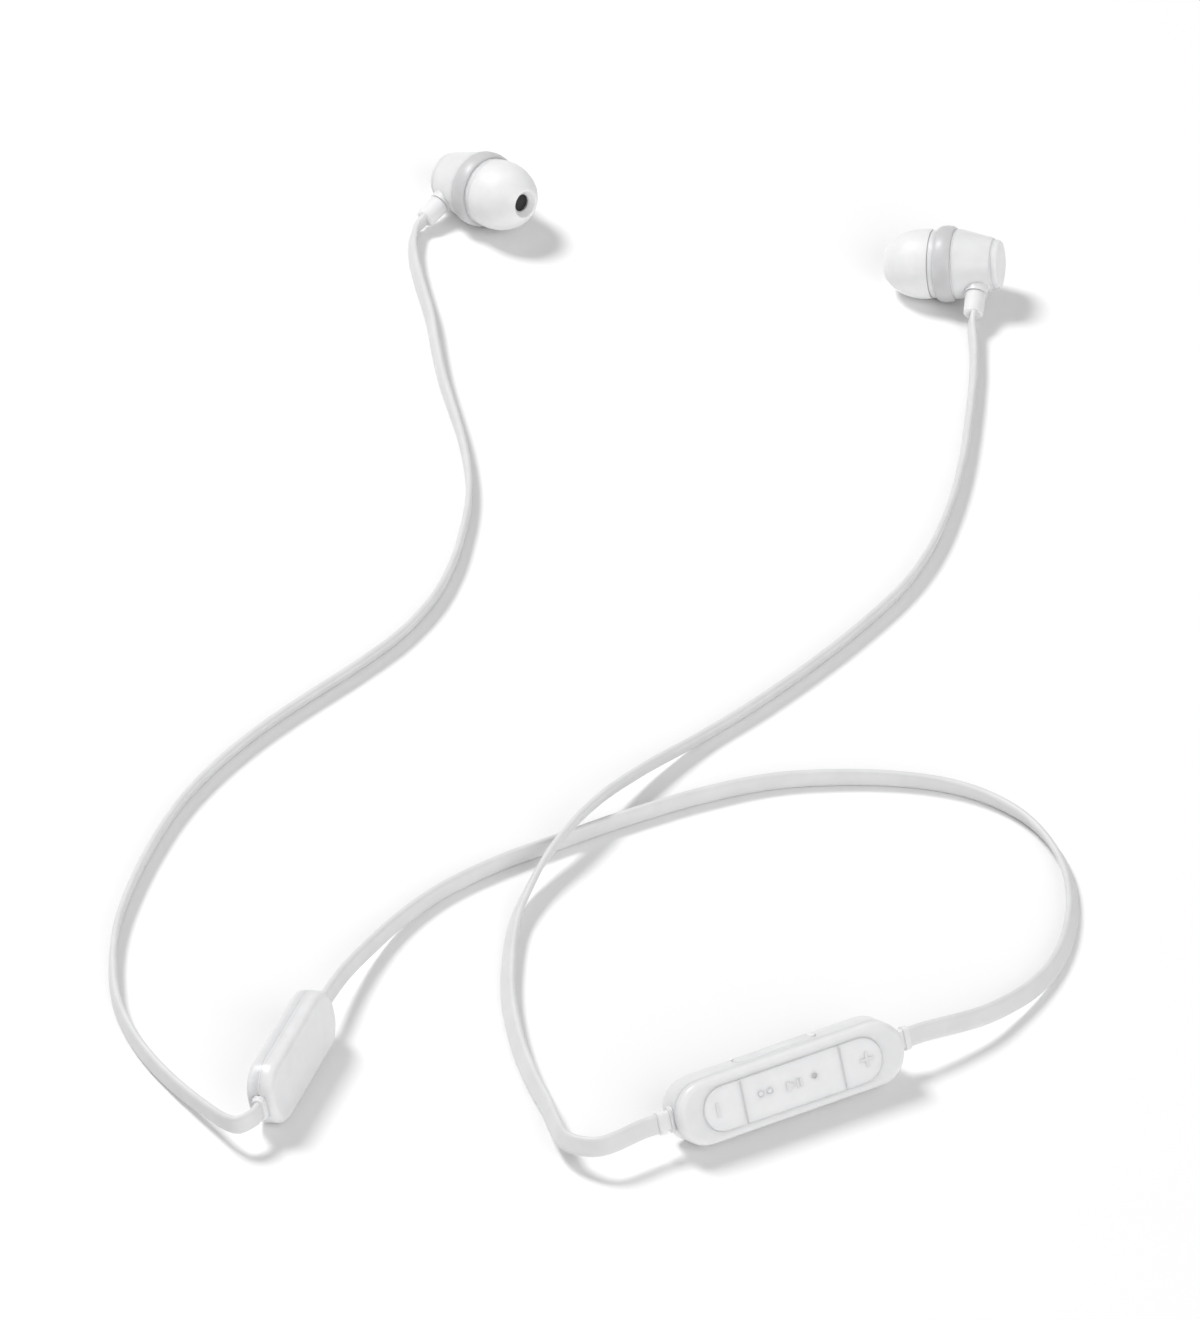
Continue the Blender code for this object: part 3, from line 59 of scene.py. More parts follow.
REMOTE_PLACE = (23.35 * MM, -121.6 * MM)
REMOTE_HEADING, REMOTE_LEAN = 28.4 * DEG, 25.0 * DEG
REMOTE_STRAIGHT = 2.0 * MM
PANEL_PROUD = 0.15 * MM
POD_LENGTH = 28.0 * MM
POD_WIDTH = 11.4 * MM
POD_THICKNESS = 5.0 * MM
POD_FILLET = 1.2 * MM
POD_BOOT_LENGTH = 0.9 * MM
POD_PLACE = (-57.45 * MM, -115.05 * MM)
POD_HEADING, POD_LEAN = 70.0 * DEG, 12.0 * DEG
POD_STRAIGHT = 1.0 * MM
RING_RADIUS, RING_HALF, RING_BULGE = 6.8 * MM, 1.5 * MM, 0.4 * MM
LEFT_BUD_PLACE = (-27.4 * MM, 125.3 * MM)
LEFT_BUD_HEADING, LEFT_BUD_PITCH, LEFT_STEM_DROOP = -46.0 * DEG, 12.0 * DEG, 18.0 * DEG
RIGHT_BUD_PLACE = (54.6 * MM, 102.9 * MM)
RIGHT_BUD_HEADING, RIGHT_BUD_PITCH, RIGHT_STEM_DROOP = 169.0 * DEG, -7.5 * DEG, 24.0 * DEG
STEM_AT, STEM_END = -5.65 * MM, 10.39 * MM
BUD_STRAIGHT = 1.5 * MM

# Free routes of the cords, the same points as in part.py: x, y, z in millimetres and the lean
# in degrees.
LEFT_ROUTE = (
    (-39.8, 116.8, 1.8, -14),
    (-39.7, 112.2, 1.75, -14),
    (-38.9, 106.4, 1.75, -14),
    (-37.6, 99.5, 1.75, -13),
    (-36.5, 93.5, 1.75, -12),
    (-35.6, 85.7, 1.75, -10),
    (-34.3, 76.5, 1.75, -8),
    (-32.7, 68.5, 1.75, -4),
    (-30.9, 59.5, 1.75, 0),
    (-29.6, 49.5, 1.75, 0),
    (-29.4, 40.5, 1.75, 0),
    (-30.5, 31.0, 1.75, -4),
    (-32.3, 22.0, 1.75, -10),
    (-35.5, 12.7, 1.75, -16),
    (-41.1, 2.9, 1.7, -20),
    (-49.3, -6.8, 1.7, -23),
    (-57.7, -15.6, 1.7, -24),
    (-65.2, -24.1, 1.7, -23),
    (-71.7, -33.0, 1.7, -20),
    (-77.5, -43.2, 1.7, -16),
    (-81.9, -54.4, 1.75, -12),
    (-85.4, -66.5, 1.75, -9),
    (-87.3, -76.5, 1.75, -7),
    (-87.7, -86.0, 1.75, -6),
    (-86.7, -96.0, 1.75, -6),
    (-84.0, -104.6, 1.75, -6),
    (-80.7, -111.4, 1.85, -5),
    (-77.1, -117.3, 2.2, -2),
    (-73.6, -122.5, 2.9, 2),
    (-70.6, -126.9, 3.8, 4),
    (-68.2, -130.2, 4.6, 2),
    (-65.8, -132.0, 5.3, -4),
)
NECK_ROUTE = (
    (-49.0, -91.7, 4.6, -11),
    (-45.0, -83.2, 3.1, -9),
    (-40.1, -74.9, 2.1, -6),
    (-33.5, -67.0, 1.75, -3),
    (-23.5, -59.2, 1.75, 0),
    (-13.4, -53.4, 1.75, 0),
    (-3.3, -47.7, 1.75, 0),
    (10.2, -41.2, 1.75, 0),
    (22.0, -37.3, 1.75, 0),
    (33.8, -36.1, 1.75, 3),
    (44.0, -36.6, 1.75, 7),
    (52.4, -38.5, 1.75, 12),
    (59.0, -41.8, 1.75, 17),
    (64.8, -46.9, 1.7, 22),
    (68.9, -53.6, 1.7, 26),
    (71.4, -61.1, 1.65, 28),
    (72.2, -69.1, 1.65, 28),
    (71.3, -78.4, 1.65, 28),
    (68.9, -86.3, 1.8, 27),
    (65.4, -92.7, 2.3, 26),
    (61.2, -98.0, 3.2, 25),
    (56.1, -103.0, 4.4, 25),
)
RIGHT_ROUTE = (
    (-6.4, -137.9, 5.7, 25),
    (-10.1, -136.9, 5.0, 24),
    (-12.6, -134.5, 4.3, 23),
    (-13.9, -130.5, 3.5, 23),
    (-15.4, -124.0, 2.6, 25),
    (-17.8, -116.3, 1.9, 29),
    (-20.1, -107.2, 1.6, 33),
    (-21.8, -95.5, 1.55, 35),
    (-21.9, -85.0, 1.6, 34),
    (-20.8, -74.4, 1.9, 30),
    (-18.4, -66.8, 2.9, 26),
    (-15.9, -61.2, 4.2, 22),
    (-12.2, -54.9, 5.4, 20),
    (-6.7, -46.1, 5.2, 20),
    (0.9, -35.7, 3.4, 20),
    (10.2, -25.5, 1.8, 20),
    (18.8, -17.0, 1.7, 20),
    (27.4, -7.6, 1.7, 20),
    (36.0, 2.9, 1.7, 19),
    (44.8, 15.5, 1.7, 17),
    (50.1, 26.7, 1.75, 15),
    (53.8, 39.5, 1.75, 14),
    (56.2, 52.3, 1.75, 13),
    (57.8, 66.7, 1.75, 12),
    (58.7, 78.5, 1.75, 11),
    (58.8, 85.6, 1.85, 10),
)

# --------------------------------------------------------------------------- camera

CAMERA_ELEVATION = 38.0 * DEG
CAMERA_DISTANCE = 2.5
CAMERA_AIM = Vector((-6.7 * MM, 1.0 * MM, 0.0))
CAMERA_DROP = 1.6 * MM
CAMERA_LENS = 399.2  # for the frame's long side, which is its height
CAMERA_SENSOR = 36.0
CAMERA_CLIP = (0.05, 20.0)


def add_camera():
    data = bpy.data.cameras.new("camera")
    data.type = "PERSP"
    data.sensor_width = CAMERA_SENSOR
    data.lens = CAMERA_LENS
    data.clip_start, data.clip_end = CAMERA_CLIP
    camera = bpy.data.objects.new("camera", data)
    bpy.context.scene.collection.objects.link(camera)
    back = Vector((0, -math.cos(CAMERA_ELEVATION), math.sin(CAMERA_ELEVATION)))
    up = Vector((0, math.sin(CAMERA_ELEVATION), math.cos(CAMERA_ELEVATION)))
    camera.location = CAMERA_AIM + back * CAMERA_DISTANCE - up * CAMERA_DROP
    camera.rotation_mode = "QUATERNION"
    camera.rotation_quaternion = (-back).to_track_quat("-Z", "Y")
    bpy.context.scene.camera = camera


add_camera()

# --------------------------------------------------------------------------- module frames


def lowest_reach(width, thickness, rounding, lean):
    """How far a rounded slab that leans by this angle reaches down from its middle."""
    across = (width / 2 - rounding) * math.cos(lean)
    through = (thickness / 2 - rounding) * math.sin(lean)
    return across + through + rounding


def module(place, height, turn):
    """A module's own frame in the world."""
    return Matrix.LocRotScale(Vector((*place, height)), turn, None)


def bud_module(place, heading, pitch, droop, viewer_side):
    """An earbud's frame: Z along the nozzle, the stem towards -Y, the ring on the floor."""
    level_axis = Vector((math.cos(heading), math.sin(heading), 0))
    axis = level_axis * math.cos(pitch) + Vector((0, 0, math.sin(pitch)))
    level = viewer_side * Vector((math.sin(heading), -math.cos(heading), 0))
    down = -(Vector((0, 0, 1)) - axis * axis.z).normalized()
    y_axis = -(math.cos(droop) * level + math.sin(droop) * down)
    turn = Matrix((y_axis.cross(axis), y_axis, axis)).transposed().to_quaternion()
    heights = []
    for angle in (45 * DEG, 90 * DEG):
        radius = RING_RADIUS - RING_BULGE * (1 - math.sin(angle))
        station = RING_HALF * math.cos(angle)
        heights.append(radius * math.cos(pitch) + station * abs(math.sin(pitch)))
    return module(place, max(heights), turn)


REMOTE = module(
    REMOTE_PLACE,
    lowest_reach(REMOTE_WIDTH, REMOTE_THICKNESS, REMOTE_BACK_FILLET, REMOTE_LEAN),
    Euler((90 * DEG - REMOTE_LEAN, 0, REMOTE_HEADING)),
)
POD = module(
    POD_PLACE,
    lowest_reach(POD_WIDTH, POD_THICKNESS, POD_FILLET, POD_LEAN),
    Euler((90 * DEG - POD_LEAN, 0, POD_HEADING)),
)
LEFT_BUD = bud_module(LEFT_BUD_PLACE, LEFT_BUD_HEADING, LEFT_BUD_PITCH, LEFT_STEM_DROOP, 1)
RIGHT_BUD = bud_module(RIGHT_BUD_PLACE, RIGHT_BUD_HEADING, RIGHT_BUD_PITCH, RIGHT_STEM_DROOP, -1)

# --------------------------------------------------------------------------- finishes

GLOW_SPREAD, GLOW_DEPTH = (1.0, 0.95, 0.9), 1.4 * MM


class Finish:
    """One procedural material. Its coordinates are millimetres fixed to the piece."""

    def __init__(self, name):
        self.material = bpy.data.materials.new(name)
        self.material.use_nodes = True
        self.tree = self.material.node_tree
        self.shader = self.tree.nodes["Principled BSDF"]
        place = self.tree.nodes.new("ShaderNodeTexCoord")
        scaled = self.tree.nodes.new("ShaderNodeVectorMath")
        scaled.operation = "SCALE"
        scaled.inputs["Scale"].default_value = 1.0 / MM
        self.link(place.outputs["Object"], scaled.inputs[0])
        self.millimetres = scaled.outputs["Vector"]
        self.uv = place.outputs["UV"]

    def link(self, source, target):
        self.tree.links.new(source, target)

    def put(self, **values):
        """Constant numbers on the shader's own sockets."""
        for name, value in values.items():
            self.shader.inputs[name.replace("_", " ")].default_value = value

    def glow(self, weight, depth, spread=GLOW_SPREAD):
        """Light that spreads under the surface, to that depth in metres."""
        self.put(Subsurface_Weight=weight, Subsurface_Radius=spread, Subsurface_Scale=depth)

    def noise(self, scale, detail=2.0, roughness=0.5, distortion=0.0, where=None):
        made = self.tree.nodes.new("ShaderNodeTexNoise")
        made.inputs["Scale"].default_value = scale
        made.inputs["Detail"].default_value = detail
        made.inputs["Roughness"].default_value = roughness
        made.inputs["Distortion"].default_value = distortion
        self.link(where or self.millimetres, made.inputs["Vector"])
        return made.outputs["Fac"]

    def stretched(self, factors, where=None):
        made = self.tree.nodes.new("ShaderNodeMapping")
        made.inputs["Scale"].default_value = factors
        self.link(where or self.millimetres, made.inputs["Vector"])
        return made.outputs["Vector"]

    def ramp(self, source, low, high, start=0.35, end=0.65):
        """The source's range from start to end spread from low to high."""
        made = self.tree.nodes.new("ShaderNodeMapRange")
        made.inputs["From Min"].default_value = start
        made.inputs["From Max"].default_value = end
        made.inputs["To Min"].default_value = low
        made.inputs["To Max"].default_value = high
        self.link(source, made.inputs["Value"])
        return made.outputs["Result"]

    def blend(self, share, one, two):
        made = self.tree.nodes.new("ShaderNodeMix")
        made.data_type = "RGBA"
        for socket, value in ((made.inputs[6], one), (made.inputs[7], two)):
            if isinstance(value, tuple):
                socket.default_value = (*value, 1.0)
            else:
                self.link(value, socket)
        self.link(share, made.inputs[0])
        return made.outputs[2]

    def join(self, one, two, operation="ADD"):
        made = self.tree.nodes.new("ShaderNodeMath")
        made.operation = operation
        for socket, value in zip(made.inputs, (one, two)):
            if isinstance(value, (int, float)):
                socket.default_value = value
            else:
                self.link(value, socket)
        return made.outputs["Value"]

    def colour(self, source):
        self.link(source, self.shader.inputs["Base Color"])

    def mottle(self, source, light, dark):
        """Colour that drifts from light to dark with the source."""
        self.colour(self.blend(self.ramp(source, 0.0, 1.0), light, dark))

    def roughness(self, source):
        self.link(source, self.shader.inputs["Roughness"])

    def bump(self, source, depth):
        """Relief of that depth in metres."""
        made = self.tree.nodes.new("ShaderNodeBump")
        made.inputs["Distance"].default_value = depth
        made.inputs["Strength"].default_value = 1.0
        self.link(source, made.inputs["Height"])
        self.link(made.outputs["Normal"], self.shader.inputs["Normal"])


def moulded(name, light, dark, smooth, rough, grain, depth, glow=0.0, gloss=0.5):
    """Moulded plastic or rubber: faint flow mottle, uneven gloss and a fine eroded grain."""
    made = Finish(name)
    made.mottle(made.noise(0.35, 3.0), light, dark)
    patches = made.noise(1.3, 4.0, 0.6)
    made.roughness(made.ramp(patches, smooth, rough))
    fine = made.noise(grain, 3.0, 0.65)
    waves = made.noise(0.6, 1.0)
    made.bump(made.join(fine, made.join(waves, 3.0, "MULTIPLY")), depth)
    made.put(Specular_IOR_Level=gloss)
    if glow:
        made.glow(glow, GLOW_DEPTH)
    return made.material


def cord_finish():
    """Extruded jacket: die lines along it, faint flow bands across it, matt."""
    made = Finish("jacket")
    along = made.stretched((1.0, 0.012, 1.0), made.uv)
    lines = made.noise(90.0, 2.0, 0.6, where=along)
    bands = made.noise(0.22, 2.0)
    # The jacket's white is darker than the casing's: painted shade for the shade that falls on the
    # thin cords. The flow bands drift it at random.
    made.mottle(bands, (0.73, 0.73, 0.735), (0.70, 0.70, 0.705))
    gloss = made.join(made.ramp(lines, -0.04, 0.04), made.ramp(made.noise(1.6, 3.0), 0.44, 0.54))
    made.roughness(gloss)
    skin = made.noise(14.0, 3.0, 0.6)
    made.bump(made.join(lines, made.join(skin, 0.6, "MULTIPLY")), 0.006 * MM)
    made.glow(0.12, 0.4 * MM)
    return made.material


def silicone_finish():
    """Soft, slightly translucent silicone."""
    made = Finish("silicone")
    made.mottle(made.noise(0.5, 3.0), (0.85, 0.85, 0.845), (0.82, 0.82, 0.815))
    made.roughness(made.ramp(made.noise(1.8, 4.0, 0.6), 0.44, 0.56))
    made.bump(made.noise(9.0, 3.0, 0.6), 0.004 * MM)
    made.glow(0.55, 0.9 * MM, spread=(1.0, 0.96, 0.92))
    return made.material


def metal_finish(name, colour, smooth, rough, stretch):
    """Drawn or plated metal with a faint stain."""
    made = Finish(name)
    drawn = made.noise(12.0, 3.0, 0.6, where=made.stretched(stretch))
    stain = made.noise(0.7, 3.0)
    darker = tuple(0.86 * value for value in colour)
    made.mottle(stain, colour, darker)
    made.roughness(made.ramp(drawn, smooth, rough))
    made.bump(drawn, 0.003 * MM)
    made.put(Metallic=1.0)
    return made.material


def board_finish():
    """Solder mask over fine tracks, with a glass weave that shows through it."""
    made = Finish("solder_mask")
    tracks = made.tree.nodes.new("ShaderNodeTexBrick")
    tracks.inputs["Scale"].default_value = 1.1
    tracks.inputs["Mortar Size"].default_value = 0.035
    tracks.inputs["Mortar Smooth"].default_value = 0.2
    tracks.inputs["Color1"].default_value = (0.012, 0.13, 0.045, 1.0)
    tracks.inputs["Color2"].default_value = (0.010, 0.105, 0.038, 1.0)
    tracks.inputs["Mortar"].default_value = (0.03, 0.24, 0.08, 1.0)
    made.link(made.millimetres, tracks.inputs["Vector"])
    cloud = made.ramp(made.noise(2.2, 3.0), 0.0, 0.35)
    made.colour(made.blend(cloud, tracks.outputs["Color"], (0.008, 0.08, 0.03)))
    made.roughness(made.ramp(made.noise(5.0, 3.0), 0.28, 0.42))
    made.bump(made.join(tracks.outputs["Fac"], made.noise(16.0, 2.0)), 0.01 * MM)
    return made.material


def pouch_finish():
    """Aluminium laminate pouch with a soft crinkle."""
    made = Finish("pouch")
    crinkle = made.noise(1.1, 5.0, 0.65, 1.2)
    made.mottle(crinkle, (0.62, 0.63, 0.65), (0.52, 0.53, 0.55))
    made.roughness(made.ramp(made.noise(6.0, 3.0), 0.28, 0.42))
    made.bump(crinkle, 0.05 * MM)
    made.put(Metallic=0.85)
    return made.material


def guide_finish():
    """Milky moulded guide that carries the lamps' light."""
    made = Finish("clear_guide")
    made.mottle(made.noise(2.0), (0.90, 0.91, 0.92), (0.85, 0.86, 0.87))
    made.roughness(made.ramp(made.noise(3.0), 0.12, 0.22))
    made.bump(made.noise(6.0), 0.004 * MM)
    made.put(Transmission_Weight=0.1, IOR=1.49)
    made.glow(0.3, 0.15 * MM, spread=(1.0, 1.0, 1.0))
    return made.material


# Moulded finishes: name, light and dark colour, smoothest and roughest, grain to the millimetre,
# depth of the grain, glow and gloss.
WHITE = moulded(
    "white_casing", (0.80, 0.80, 0.805), (0.775, 0.775, 0.78), 0.30, 0.38, 16.0, 0.004 * MM, 0.6
)
# The keys and the USB port cover get a lighter white than the casing's: painted light for the
# light that falls on the remote's face.
KEYS = moulded(
    "soft_key", (0.855, 0.855, 0.86), (0.83, 0.83, 0.835), 0.44, 0.54, 12.0, 0.006 * MM, 0.8, 0.4
)
ELASTOMER = moulded(
    "boot_elastomer", (0.80, 0.80, 0.805), (0.77, 0.77, 0.775),
    0.50, 0.62, 10.0, 0.008 * MM, 0.5, 0.35,
)
GREY = moulded(
    "trim_grey", (0.60, 0.60, 0.61), (0.57, 0.57, 0.58), 0.34, 0.42, 14.0, 0.004 * MM, 0.4
)
BLACK = moulded(
    "component_black", (0.028, 0.028, 0.030), (0.018, 0.018, 0.020), 0.42, 0.6, 11.0, 0.01 * MM
)
FILM = moulded("driver_film", (0.30, 0.26, 0.18), (0.24, 0.20, 0.13), 0.2, 0.3, 5.0, 0.01 * MM)
SCREEN = moulded(
    "mesh_black", (0.012, 0.012, 0.013), (0.007, 0.007, 0.008), 0.5, 0.65, 14.0, 0.008 * MM
)
DUST_SCREEN = moulded(
    "dust_screen", (0.72, 0.72, 0.725), (0.64, 0.64, 0.645), 0.5, 0.65, 14.0, 0.008 * MM, 0.5
)
JACKET = cord_finish()
SILICONE = silicone_finish()
METAL = metal_finish("bare_metal", (0.72, 0.72, 0.71), 0.22, 0.36, (1.0, 0.1, 1.0))
MAGNET = metal_finish("magnet_plating", (0.66, 0.66, 0.66), 0.16, 0.26, (1.0, 1.0, 1.0))
BOARD = board_finish()
POUCH = pouch_finish()
GUIDE = guide_finish()

BY_NODE = {
    "antenna_chip": GUIDE,
    "battery_cell": POUCH,
    "bluetooth_chip": BLACK,
    "charging_chip": BLACK,
    "crystal": METAL,
    "led_charge": GUIDE,
    "led_power": GUIDE,
    "microphone_screen": DUST_SCREEN,
    "usb_tongue": BLACK,
    "button_minus": KEYS,
    "button_play": KEYS,
    "button_plus": KEYS,
    "light_guide": GUIDE,
    "main_pcb": BOARD,
    "microphone": METAL,
    "pod_boot_ear": ELASTOMER,
    "pod_boot_neck": ELASTOMER,
    "pod_front_cover": WHITE,
    "pod_rear_cover": WHITE,
    "protection_pcb": BOARD,
    "remote_boot_ear": ELASTOMER,
    "remote_boot_neck": ELASTOMER,
    "remote_front_cover": WHITE,
    "remote_rear_cover": WHITE,
    "switch_minus": METAL,
    "switch_play": METAL,
    "switch_plus": METAL,
    "usb_port_cover": KEYS,
    "usb_socket": METAL,
}
for side in ("left", "right"):
    BY_NODE[side + "_housing"] = WHITE
    BY_NODE[side + "_rear_cap"] = WHITE
    BY_NODE[side + "_front_housing"] = WHITE
    BY_NODE[side + "_trim_ring"] = GREY
    BY_NODE[side + "_stem_boot"] = ELASTOMER
    BY_NODE[side + "_driver_frame"] = BLACK
    BY_NODE[side + "_driver_magnet"] = MAGNET
    BY_NODE[side + "_diaphragm"] = FILM
    BY_NODE[side + "_nozzle_mesh"] = SCREEN

WELD_DISTANCE = 0.001 * MM
SHADING_ANGLE = 38.0 * DEG
FLATNESS_WEIGHT = 100


def rounding_nodes():
    """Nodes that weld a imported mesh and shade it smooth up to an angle, so no facet shows."""
    tree = bpy.data.node_groups.new("rounded_shading", "GeometryNodeTree")
    tree.interface.new_socket("Geometry", in_out="INPUT", socket_type="NodeSocketGeometry")
    tree.interface.new_socket("Geometry", in_out="OUTPUT", socket_type="NodeSocketGeometry")
    way_in, way_out = tree.nodes.new("NodeGroupInput"), tree.nodes.new("NodeGroupOutput")
    plain = tree.nodes.new("GeometryNodeRemoveAttribute")
    plain.inputs["Name"].default_value = "custom_normal"
    weld = tree.nodes.new("GeometryNodeMergeByDistance")
    weld.inputs["Distance"].default_value = WELD_DISTANCE
    faces = tree.nodes.new("GeometryNodeSetShadeSmooth")
    faces.domain = "FACE"
    faces.inputs["Shade Smooth"].default_value = True
    edges = tree.nodes.new("GeometryNodeSetShadeSmooth")
    edges.domain = "EDGE"
    angle = tree.nodes.new("GeometryNodeInputMeshEdgeAngle")
    gentle = tree.nodes.new("FunctionNodeCompare")
    gentle.data_type = "FLOAT"
    gentle.operation = "LESS_EQUAL"
    gentle.inputs["B"].default_value = SHADING_ANGLE
    tree.links.new(angle.outputs["Unsigned Angle"], gentle.inputs["A"])
    tree.links.new(gentle.outputs["Result"], edges.inputs["Shade Smooth"])
    chain = (way_in, plain, weld, faces, edges, way_out)
    for one, two in zip(chain, chain[1:]):
        tree.links.new(one.outputs[0], two.inputs[0])
    return tree


ROUNDING = rounding_nodes()

for name, finish in BY_NODE.items():
    node = NODES[name]
    for slot in node.material_slots:
        slot.link = "OBJECT"
        slot.material = finish
    shading = node.modifiers.new("rounded_shading", "NODES")
    shading.node_group = ROUNDING
    weighted = node.modifiers.new("even_flats", "WEIGHTED_NORMAL")
    weighted.keep_sharp = True
    weighted.weight = FLATNESS_WEIGHT

# --------------------------------------------------------------------------- pieces


def piece(name, form, finish, body, matrix=None, smooth=35.0):
    """A mesh piece that rides on a CAD body."""
    mesh = bpy.data.meshes.new(name)
    bmesh.ops.recalc_face_normals(form, faces=form.faces)
    form.to_mesh(mesh)
    form.free()
    if matrix is not None:
        mesh.transform(matrix)
    mesh.shade_smooth()
    mesh.set_sharp_from_angle(angle=smooth * DEG)
    mesh.materials.append(finish)
    made = bpy.data.objects.new(name, mesh)
    bpy.context.scene.collection.objects.link(made)
    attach(made, body)
    return made


# --------------------------------------------------------------------------- cords

SECTION_STEPS = 6
CURVE_STEPS = 40  # of the fine curve between two points of a route
UV_LENGTH = 10  # millimetres of cord to one unit of V
FLAT_STATIONS = (0.6, 0.2, -0.2, -0.6)  # points across a flat side, as shares of its half width
CORD_SPACING = 1.1 * MM
CORD_WAIST = 0.03 * MM  # how much the flat sides dip between the two rounded edges
CORD_SUNK = 0.6 * MM  # how far a cord goes into the boot that holds it


def exit_from(matrix, local, direction, straight, lean):
    """A cord's end at a boot, a point inside the boot and one straight out of it."""
    out = (matrix.to_3x3() @ Vector(direction)).normalized()
    start = matrix @ Vector(local) + out * CORD_END_GAP
    sunk = start - out * (CORD_END_GAP + CORD_SUNK)
    return [(sunk, lean), (start, lean), (start + out * straight, lean)]


def smooth_line(points, spacing):
    """Points along a centripetal Catmull-Rom curve through 4-D points, evenly spaced."""
    ends = [2 * points[0] - points[1]] + points + [2 * points[-1] - points[-2]]
    fine = []
    for before, start, end, after in zip(ends, ends[1:], ends[2:], ends[3:]):
        knots = [0.0]
        for a, b in ((before, start), (start, end), (end, after)):
            knots.append(knots[-1] + math.sqrt((b.xyz - a.xyz).length))
        t0, t1, t2, t3 = knots
        for step in range(CURVE_STEPS):
            t = t1 + (t2 - t1) * step / CURVE_STEPS
            a1 = before.lerp(start, (t - t0) / (t1 - t0))
            a2 = start.lerp(end, (t - t1) / (t2 - t1))
            a3 = end.lerp(after, (t - t2) / (t3 - t2))
            b1 = a1.lerp(a2, (t - t0) / (t2 - t0))
            b2 = a2.lerp(a3, (t - t1) / (t3 - t1))
            fine.append(b1.lerp(b2, (t - t1) / (t2 - t1)))
    fine.append(points[-1])
    lengths = [(b.xyz - a.xyz).length for a, b in zip(fine, fine[1:])]
    total = sum(lengths)
    count = max(2, round(total / spacing))
    line, walked, target = [fine[0]], 0.0, total / count
    for here, after, length in zip(fine, fine[1:], lengths):
        while walked + length >= target and len(line) < count:
            line.append(here.lerp(after, (target - walked) / length))
            target += total / count
        walked += length
    line.append(fine[-1])
    return line, total


def cord_section():
    """The flat cord's section: (across the width, through the thickness)."""
    radius = CORD_THICKNESS / 2
    flat = CORD_WIDTH / 2 - radius
    points = []
    for side in (1, -1):
        for step in range(SECTION_STEPS + 1):
            angle = (90 - 180 * step / SECTION_STEPS) * DEG
            reach = flat + radius * math.cos(angle)
            points.append((side * reach, side * radius * math.sin(angle)))
        for share in FLAT_STATIONS:
            waist = CORD_WAIST * (1 - share * share)
            points.append((side * flat * share, -side * (radius - waist)))
    return points


def flat_cord(name, first, route, last):
    """A flat cord on edge, swept along the route that part.py gives its CAD solid."""
    points = [Vector((*point, lean)) for point, lean in first]
    points += [Vector((x * MM, y * MM, z * MM, lean)) for x, y, z, lean in route]
    points += [Vector((*point, lean)) for point, lean in reversed(last)]
    line, total = smooth_line(points, CORD_SPACING)
    section = cord_section()
    form = bmesh.new()
    layer = form.loops.layers.uv.new("UVMap")
    rings = []
    for before, here, after in zip([line[0]] + line, line, line[1:] + [line[-1]]):
        ahead = (after.xyz - before.xyz).normalized()
        right = ahead.cross(Vector((0, 0, 1))).normalized()
        upright = right.cross(ahead)
        lean = here.w * DEG
        wide = upright * math.cos(lean) + right * math.sin(lean)
        thin = ahead.cross(wide)
        rings.append([form.verts.new(here.xyz + wide * x + thin * y) for x, y in section])
    count = len(section)
    step = total / (len(line) - 1) / MM
    for i, (low, high) in enumerate(zip(rings, rings[1:])):
        for j in range(count):
            k = (j + 1) % count
            face = form.faces.new((low[j], low[k], high[k], high[j]))
            u0, u1 = j / count, (j + 1) / count
            v0, v1 = i * step / UV_LENGTH, (i + 1) * step / UV_LENGTH
            for loop, uv in zip(face.loops, ((u0, v0), (u1, v0), (u1, v1), (u0, v1))):
                loop[layer].uv = uv
    form.faces.new(rings[0])
    form.faces.new(rings[-1])
    made = piece(name + "_jacket", form, JACKET, "set", smooth=50.0)
    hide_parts(name)


REMOTE_END = REMOTE_LENGTH / 2 + REMOTE_BOOT_LENGTH
POD_END = POD_LENGTH / 2 + POD_BOOT_LENGTH
AHEAD, BACKWARD, ALONG_STEM = (1, 0, 0), (-1, 0, 0), (0, -1, 0)
REMOTE_CORD_LEAN, POD_CORD_LEAN = REMOTE_LEAN / DEG, -POD_LEAN / DEG
flat_cord(
    "left_cord",
    exit_from(LEFT_BUD, (0, -STEM_END, STEM_AT), ALONG_STEM, BUD_STRAIGHT, LEFT_ROUTE[0][3]),
    LEFT_ROUTE,
    exit_from(POD, (-POD_END, 0, 0), BACKWARD, POD_STRAIGHT, POD_CORD_LEAN),
)
flat_cord(
    "neck_cord",
    exit_from(POD, (POD_END, 0, 0), AHEAD, POD_STRAIGHT, POD_CORD_LEAN),
    NECK_ROUTE,
    exit_from(REMOTE, (REMOTE_END, 0, 0), AHEAD, REMOTE_STRAIGHT, REMOTE_CORD_LEAN),
)
flat_cord(
    "right_cord",
    exit_from(REMOTE, (-REMOTE_END, 0, 0), BACKWARD, REMOTE_STRAIGHT, REMOTE_CORD_LEAN),
    RIGHT_ROUTE,
    exit_from(RIGHT_BUD, (0, -STEM_END, STEM_AT), ALONG_STEM, BUD_STRAIGHT, RIGHT_ROUTE[-1][3]),
)

# --------------------------------------------------------------------------- ear tips

